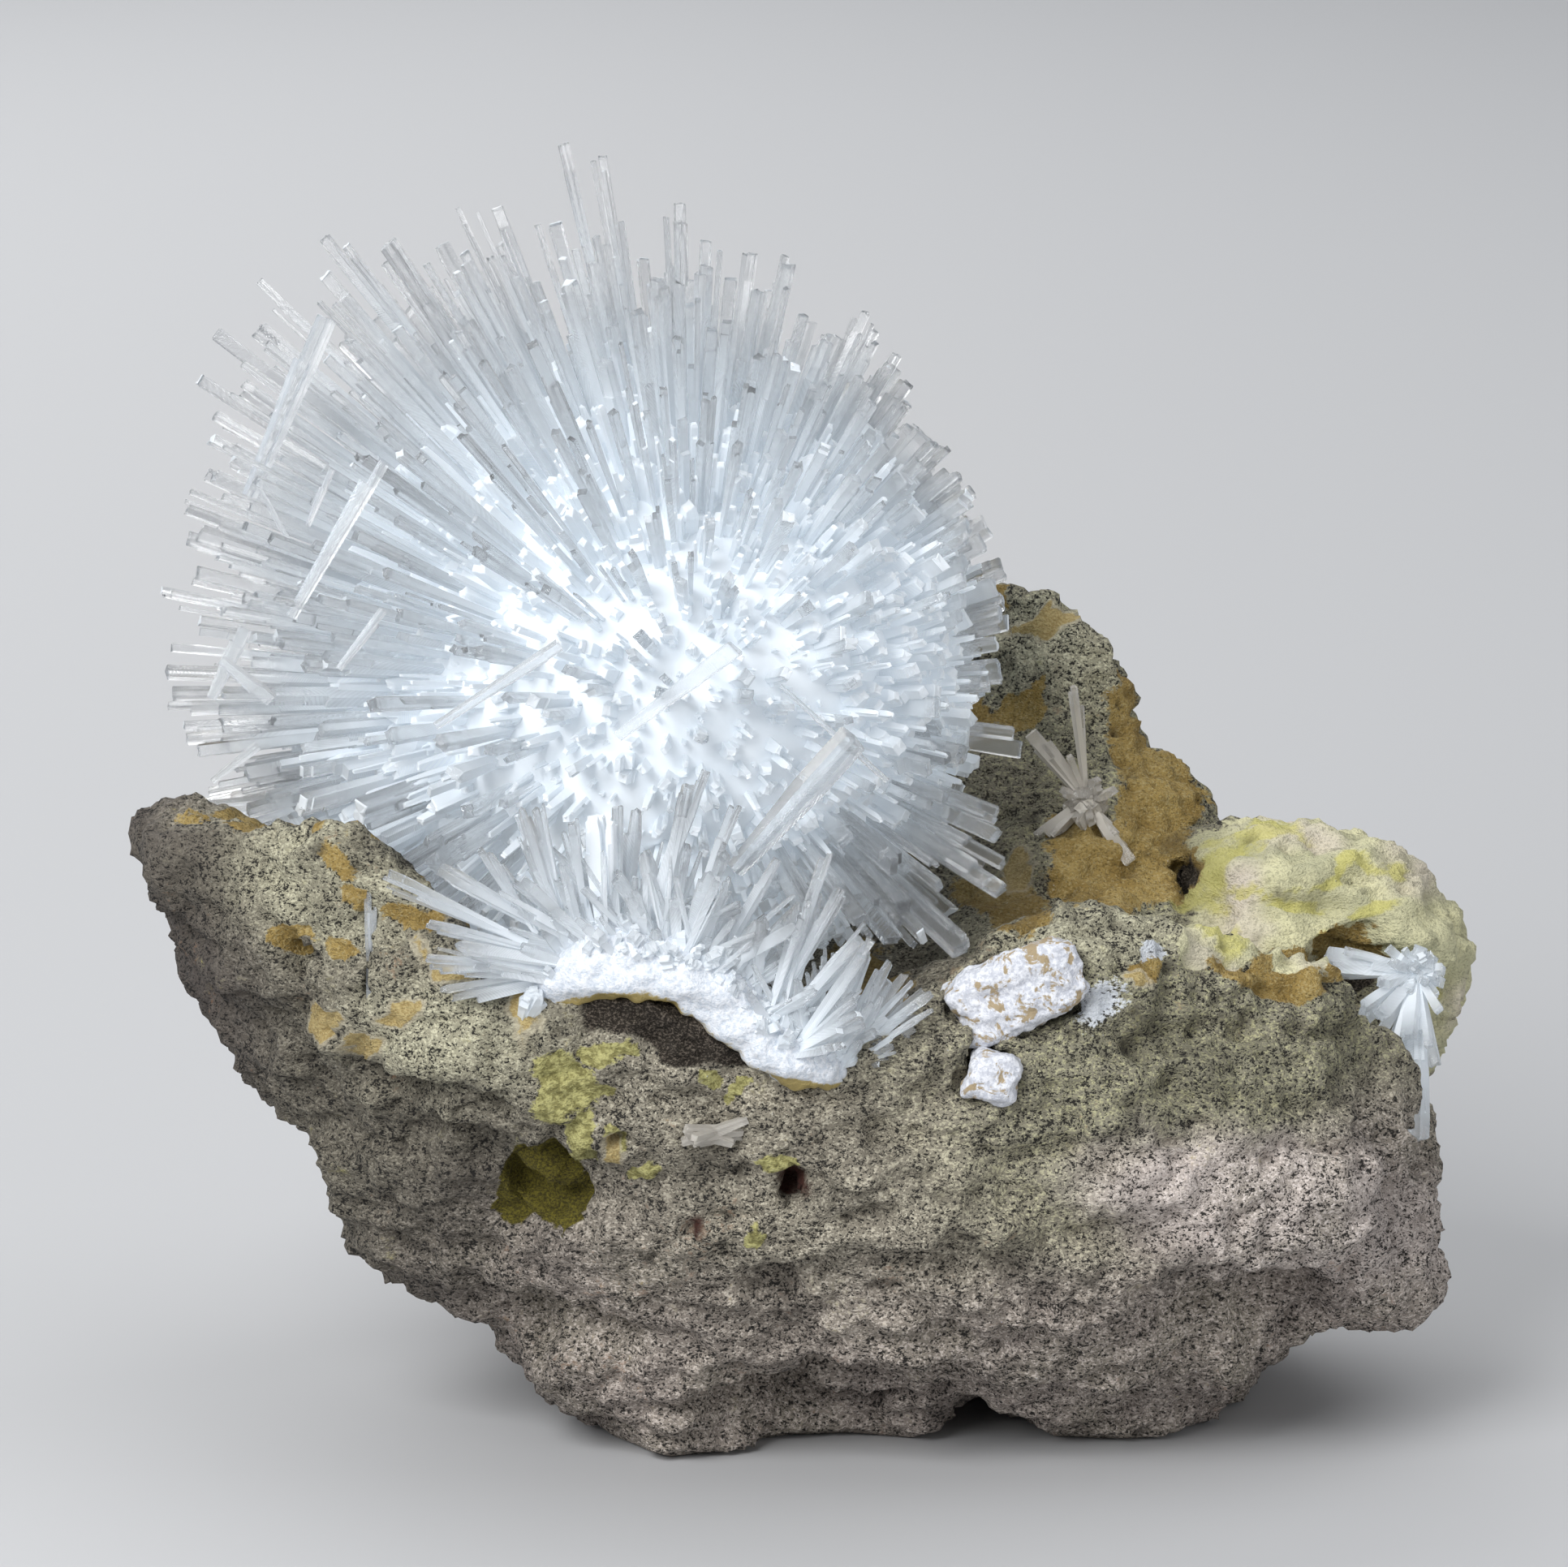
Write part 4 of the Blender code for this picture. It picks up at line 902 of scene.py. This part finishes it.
CRUST_BUMPS = 0.55 * MM
LIP_STATIONS, LIP_SIDES = 150, 56
DRUSE_STUBS = 420


def smooth_line(knots, share):
    """Points on a Catmull-Rom curve through the knots, at shares of its way from 0 to 1."""
    place = np.clip(share, 0, 1) * (len(knots) - 1)
    k = np.minimum(place.astype(int), len(knots) - 2)
    t = (place - k)[..., None]
    ring = np.concatenate([knots[:1], knots, knots[-1:]])
    a, b, c, d = (ring[k + i] for i in range(4))
    return 0.5 * (2 * b + (c - a) * t + (2 * a - 5 * b + 4 * c - d) * t**2
                  + (3 * b - a - 3 * c + d) * t**3)


frost, surface, place = new_material("frosty_crust")
grains = place.grain(0.45 * MM, 3.0, 0.7)
frost_tone = grains.over(0.35, 0.6).blend((0.60, 0.66, 0.74, 1), (0.82, 0.85, 0.90, 1))
under = surface.named("underside")
frost_tone = (under + (grains - 0.5) * 0.8).over(0.45, 0.75).blend(
    frost_tone, (0.40, 0.31, 0.11, 1))
crusty = surface.node("ShaderNodeBump", None, {
    "Strength": 0.9, "Distance": 0.25 * MM, "Height": grains})
finish_material(surface, surface.node("ShaderNodeBsdfPrincipled", None, {
    "Base Color": frost_tone, "Roughness": 0.45, "Coat Weight": 0.25, "Normal": crusty}))

stations = np.linspace(0, 1, LIP_STATIONS)
lip = smooth_line(CRUST_LINE, stations)
forward = unit(np.gradient(lip[:, :3], axis=0))
lip_up = unit(np.cross(forward, np.cross(picture_up, forward)))
lip_out = np.cross(lip_up, forward)
around = np.linspace(0, 2 * math.pi, LIP_SIDES, endpoint=False)[None, :, None]
ring = np.cos(around) * lip_out[:, None] + np.sin(around) * lip_up[:, None]
closing = np.sqrt(np.clip(1 - (2 * stations - 1) ** 16, 0, 1))
skin = lip[:, None, :3] + ring * (lip[:, 3] * closing)[:, None, None]
bumps = fractal(skin.reshape(-1, 3), 2.2 * MM, 211).reshape(LIP_STATIONS, LIP_SIDES, 1)
skin = skin + ring * bumps * CRUST_BUMPS
crust = rows_and_columns(skin, frost, "frosty_lip")
under = np.clip(-(ring @ picture_up) - 0.55, 0, 1).ravel() * 3
painted(crust, "underside", np.concatenate([under, [0, 0]]))
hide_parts("front_spray")
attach(crust, "root")

parts = []
for (first, last), (start_angle, end_angle), (short, far), (thin, wide), count in FANS:
    share = rng.uniform(0, 1, count)
    root = smooth_line(CRUST_LINE, first + (last - first) * share)
    root = root[:, :3] + rng.uniform(-0.5, 0.5, (count, 3)) * root[:, 3:]
    angles = start_angle + (end_angle - start_angle) * share + rng.normal(0, 9, count)
    axes = seen_from_front(angles, rng.uniform(*FAN_LEANS, count))
    parts.append((root, axes, rng.uniform(short, far, count) * MM,
                  rng.uniform(thin, wide, count) * MM))
roots, axes, ends, widths = (np.concatenate(column) for column in zip(*parts))
fans = needles("front_fans", roots, axes, np.zeros(len(ends)), ends, widths,
               (ends * 0.2, ends * 1.1), rng, flat=0.4, narrow=0.6)
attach(fans, "root")

foot_x, foot_y, tip_x, tip_y, thick = np.repeat(np.array(BLADES), len(BLADE_RANKS), axis=0).T
foot_ahead, tip_ahead = (np.full(len(thick), ahead) for ahead in BLADES_AHEAD)
tip_ahead += rng.uniform(-2.5, 2.5, len(thick)) * MM
tips = np.stack([tip_x, tip_y], axis=1) + rng.normal(0, 5, (len(thick), 2))
foot = from_picture(np.stack([foot_x, foot_y], axis=1), foot_ahead)
blade = from_picture(tips, tip_ahead) - foot
ends = np.linalg.norm(blade, axis=1)
thick = thick * np.tile(BLADE_RANKS, len(BLADES))
cloudy = np.where(foot_y == WHITE_FOOT, 1.0, 0.1)
blades = needles("fan_blades", foot, unit(blade), np.zeros(len(ends)), ends, thick * MM,
                 (ends * cloudy, ends * (cloudy + 0.9)), rng, flat=0.5, narrow=0.7)
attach(blades, "root")

root = smooth_line(CRUST_LINE, rng.uniform(0.02, 0.98, DRUSE_STUBS))
angles = rng.uniform(20, 160, DRUSE_STUBS)
axes = seen_from_front(angles, rng.uniform(-25, 75, DRUSE_STUBS))
root, girth = root[:, :3], root[:, 3]
root = root + rng.normal(0, 0.3 * MM, root.shape)
ends = girth * rng.uniform(0.95, 1.5, DRUSE_STUBS)
widths = rng.uniform(0.5, 1.2, DRUSE_STUBS) * MM
druse = needles("crust_druse", root, axes, girth * 0.3, ends, widths,
                (girth * 0.8, girth * 1.9), rng)
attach(druse, "root")

# The side spray. A knot of bright blades hangs in the open vug at the right end, two of
# them pointing left under its roof, and the longest straight down.
SIDE_ROOT = np.array([58.6, -0.5, 39.6]) * MM
SIDE_BLADES = (  # angle in the picture, lean, reach and width
    (172, 14, 9.2, 2.0), (176, 20, 8.6, 1.3), (166, 26, 8.0, 1.5), (181, 8, 7.4, 0.9),
    (214, 28, 7.2, 1.7), (222, 20, 7.6, 1.2), (228, 34, 6.6, 1.5), (238, 24, 7.0, 1.1),
    (268, 12, 16.2, 2.5), (264, 10, 14.8, 1.7), (271, 15, 13.4, 1.3), (255, 30, 10.0, 1.5),
    (250, 22, 9.2, 1.1), (262, 34, 7.4, 1.3), (280, 10, 9.0, 1.3), (276, 26, 7.8, 1.2),
    (140, 40, 4.6, 1.2), (158, 50, 4.2, 1.0), (196, 46, 5.4, 1.1), (300, 30, 5.0, 1.1),
)
KNOT_STUBS = 46
RIDGE_ROOT = np.array([28.2, 9.0, 53.8]) * MM
RIDGE_BLADES = (
    (131, 10, 8.6, 1.5), (127, 16, 7.0, 1.1), (112, 24, 5.2, 1.0), (98, 30, 12.6, 0.9),
    (94, 26, 9.8, 0.7), (220, 12, 6.0, 1.5), (226, 20, 5.0, 1.0), (306, 20, 7.6, 1.6),
    (301, 14, 6.2, 1.1), (312, 26, 4.8, 0.8), (20, 40, 3.4, 1.4), (60, 46, 3.2, 1.3),
    (160, 44, 3.4, 1.2), (250, 42, 3.6, 1.2), (280, 50, 3.2, 1.0),
)


def knot(name, root, blades, boss, milky, rng, material=None):
    """Blades from one root, with a druse of stubs round it as far as the boss reaches."""
    angles, leans, reaches, thick = np.array(blades).T
    stubs = unit(rng.normal(0, 1, (KNOT_STUBS, 3)) + 0.7 * to_camera)
    axes = np.concatenate([seen_from_front(angles, leans), stubs])
    ends = np.concatenate([reaches, boss * rng.uniform(0.8, 1.35, KNOT_STUBS)]) * MM
    widths = np.concatenate([thick, rng.uniform(0.7, 1.5, KNOT_STUBS)]) * MM
    return needles(name, root, axes, np.zeros(len(ends)), ends, widths,
                   (ends * milky[0], ends * milky[1]), rng, flat=0.5, material=material)


side = knot("side_blades", SIDE_ROOT, SIDE_BLADES, 2.3, (0.3, 1.2), rng)
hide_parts("side_spray")
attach(side, "root")

# The ridge spray. A small dull knot of crystals with thin arms. It grew in the ochre coat at
# the foot of the ridge behind the vug.
ridge = knot("ridge_blades", RIDGE_ROOT, RIDGE_BLADES, 1.8, (-0.3, 1.5), rng,
             material=dull_scolecite)
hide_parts("ridge_spray")
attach(ridge, "root")

# The lone crystals. A clear one leans on the left of the front face, and two worn stubs sit
# in the rock: a dull one in the middle and a whiter one at the left of the lip.
LONE = {  # node: angle in the picture, lean, crystals, their spread, milkiness, material
    "leaning_crystal": (91, 6, 3, 0.012, 0.3, scolecite),
    "stub_crystal_centre": (176, 20, 9, 0.16, 0.45, dull_scolecite),
    "stub_crystal_left": (70, 40, 8, 0.22, 0.6, scolecite),
}
for node, (angle, lean, count, spread, cloudy, kind) in LONE.items():
    low, high = (np.array(corner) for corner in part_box(node))
    axes = unit(seen_from_front(np.full(count, angle), np.full(count, lean))
                + rng.normal(0, spread, (count, 3)))
    across = unit(np.cross(axes[0], to_camera))
    whole = (high - low) @ np.abs(axes[0])  # the node's box, measured along the crystals
    thick = (high - low).min() * 0.5
    offset = np.linspace(-0.3, 0.3, count)[:, None] * thick * across
    half = whole / 2 * rng.uniform(0.45, 0.97, count)
    crystal = needles(node + "_prisms", (low + high) / 2 + offset, axes, -half, half,
                      thick * rng.uniform(0.5, 1.0, count), (-1 + cloudy, cloudy), rng,
                      narrow=0.7, material=kind)
    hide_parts(node)
    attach(crystal, "root")

# The chalky crusts. Two white lumps, a long one and a small one below it, grown on the front
# face. Their skin is flaky and powdery, with ochre stains.
CHALK_TILTS = (24, -12)
CHALK_GRID, CHALK_SMOOTHING = 0.22 * MM, 12
CHALK_BOXINESS = 2.8  # a lump's section: 2 is an ellipse, and more of it a box
CHALK_SHARE = 0.95  # of the solid's size, before the flakes
chalk_material, surface, place = new_material("chalk")
stain = place.grain(2.0 * MM, 4.0, 0.7, 0.5).over(0.53, 0.60)
flake = place.grain(0.5 * MM, 3.0, 0.7)
chalk_tone = flake.over(0.4, 0.6).blend((0.52, 0.54, 0.60, 1), (0.76, 0.775, 0.82, 1))
chalk_tone = (stain * 0.9).blend(chalk_tone, (0.34, 0.25, 0.12, 1))
chalk_bump = surface.node("ShaderNodeBump", None, {
    "Strength": 0.9, "Distance": 0.3 * MM,
    "Height": flake * 0.6 + place.grain(1.4 * MM, 3.0) * 1.2})
finish_material(surface, surface.node("ShaderNodeBsdfPrincipled", None, {
    "Base Color": chalk_tone, "Roughness": 0.9, "Normal": chalk_bump}))
for number, node in enumerate(("chalky_crust_upper", "chalky_crust_lower")):
    lump = remeshed(node, node + "_flakes", CHALK_GRID, CHALK_SMOOTHING)
    points, outward = points_and_normals(lump.data)
    middle = (points.max(axis=0) + points.min(axis=0)) / 2
    turn = math.radians(CHALK_TILTS[number])
    length = math.cos(turn) * np.array([1.0, 0, 0]) + math.sin(turn) * picture_up
    own = np.stack([length, np.cross(to_camera, length), to_camera], axis=1)
    placed = (points - middle) @ own
    placed /= np.abs(placed).max(axis=0)
    boxy = np.linalg.norm(placed, axis=1) / np.linalg.norm(placed, axis=1, ord=CHALK_BOXINESS)
    points = middle + (points - middle) * (CHALK_SHARE * boxy)[:, None]
    flakes = 0.45 * MM * fractal(points / np.array([1.6, 1.6, 0.7]), 2.0 * MM, 221 + number)
    flakes += 0.16 * MM * fractal(points, 0.8 * MM, 231 + number)
    points += outward * (flakes * 0.8)[:, None]
    lump.data.vertices.foreach_set("co", points.astype(np.float32).ravel())
    lump.data.materials.clear()
    lump.data.materials.append(chalk_material)
    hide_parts(node)
    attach(lump, "root")
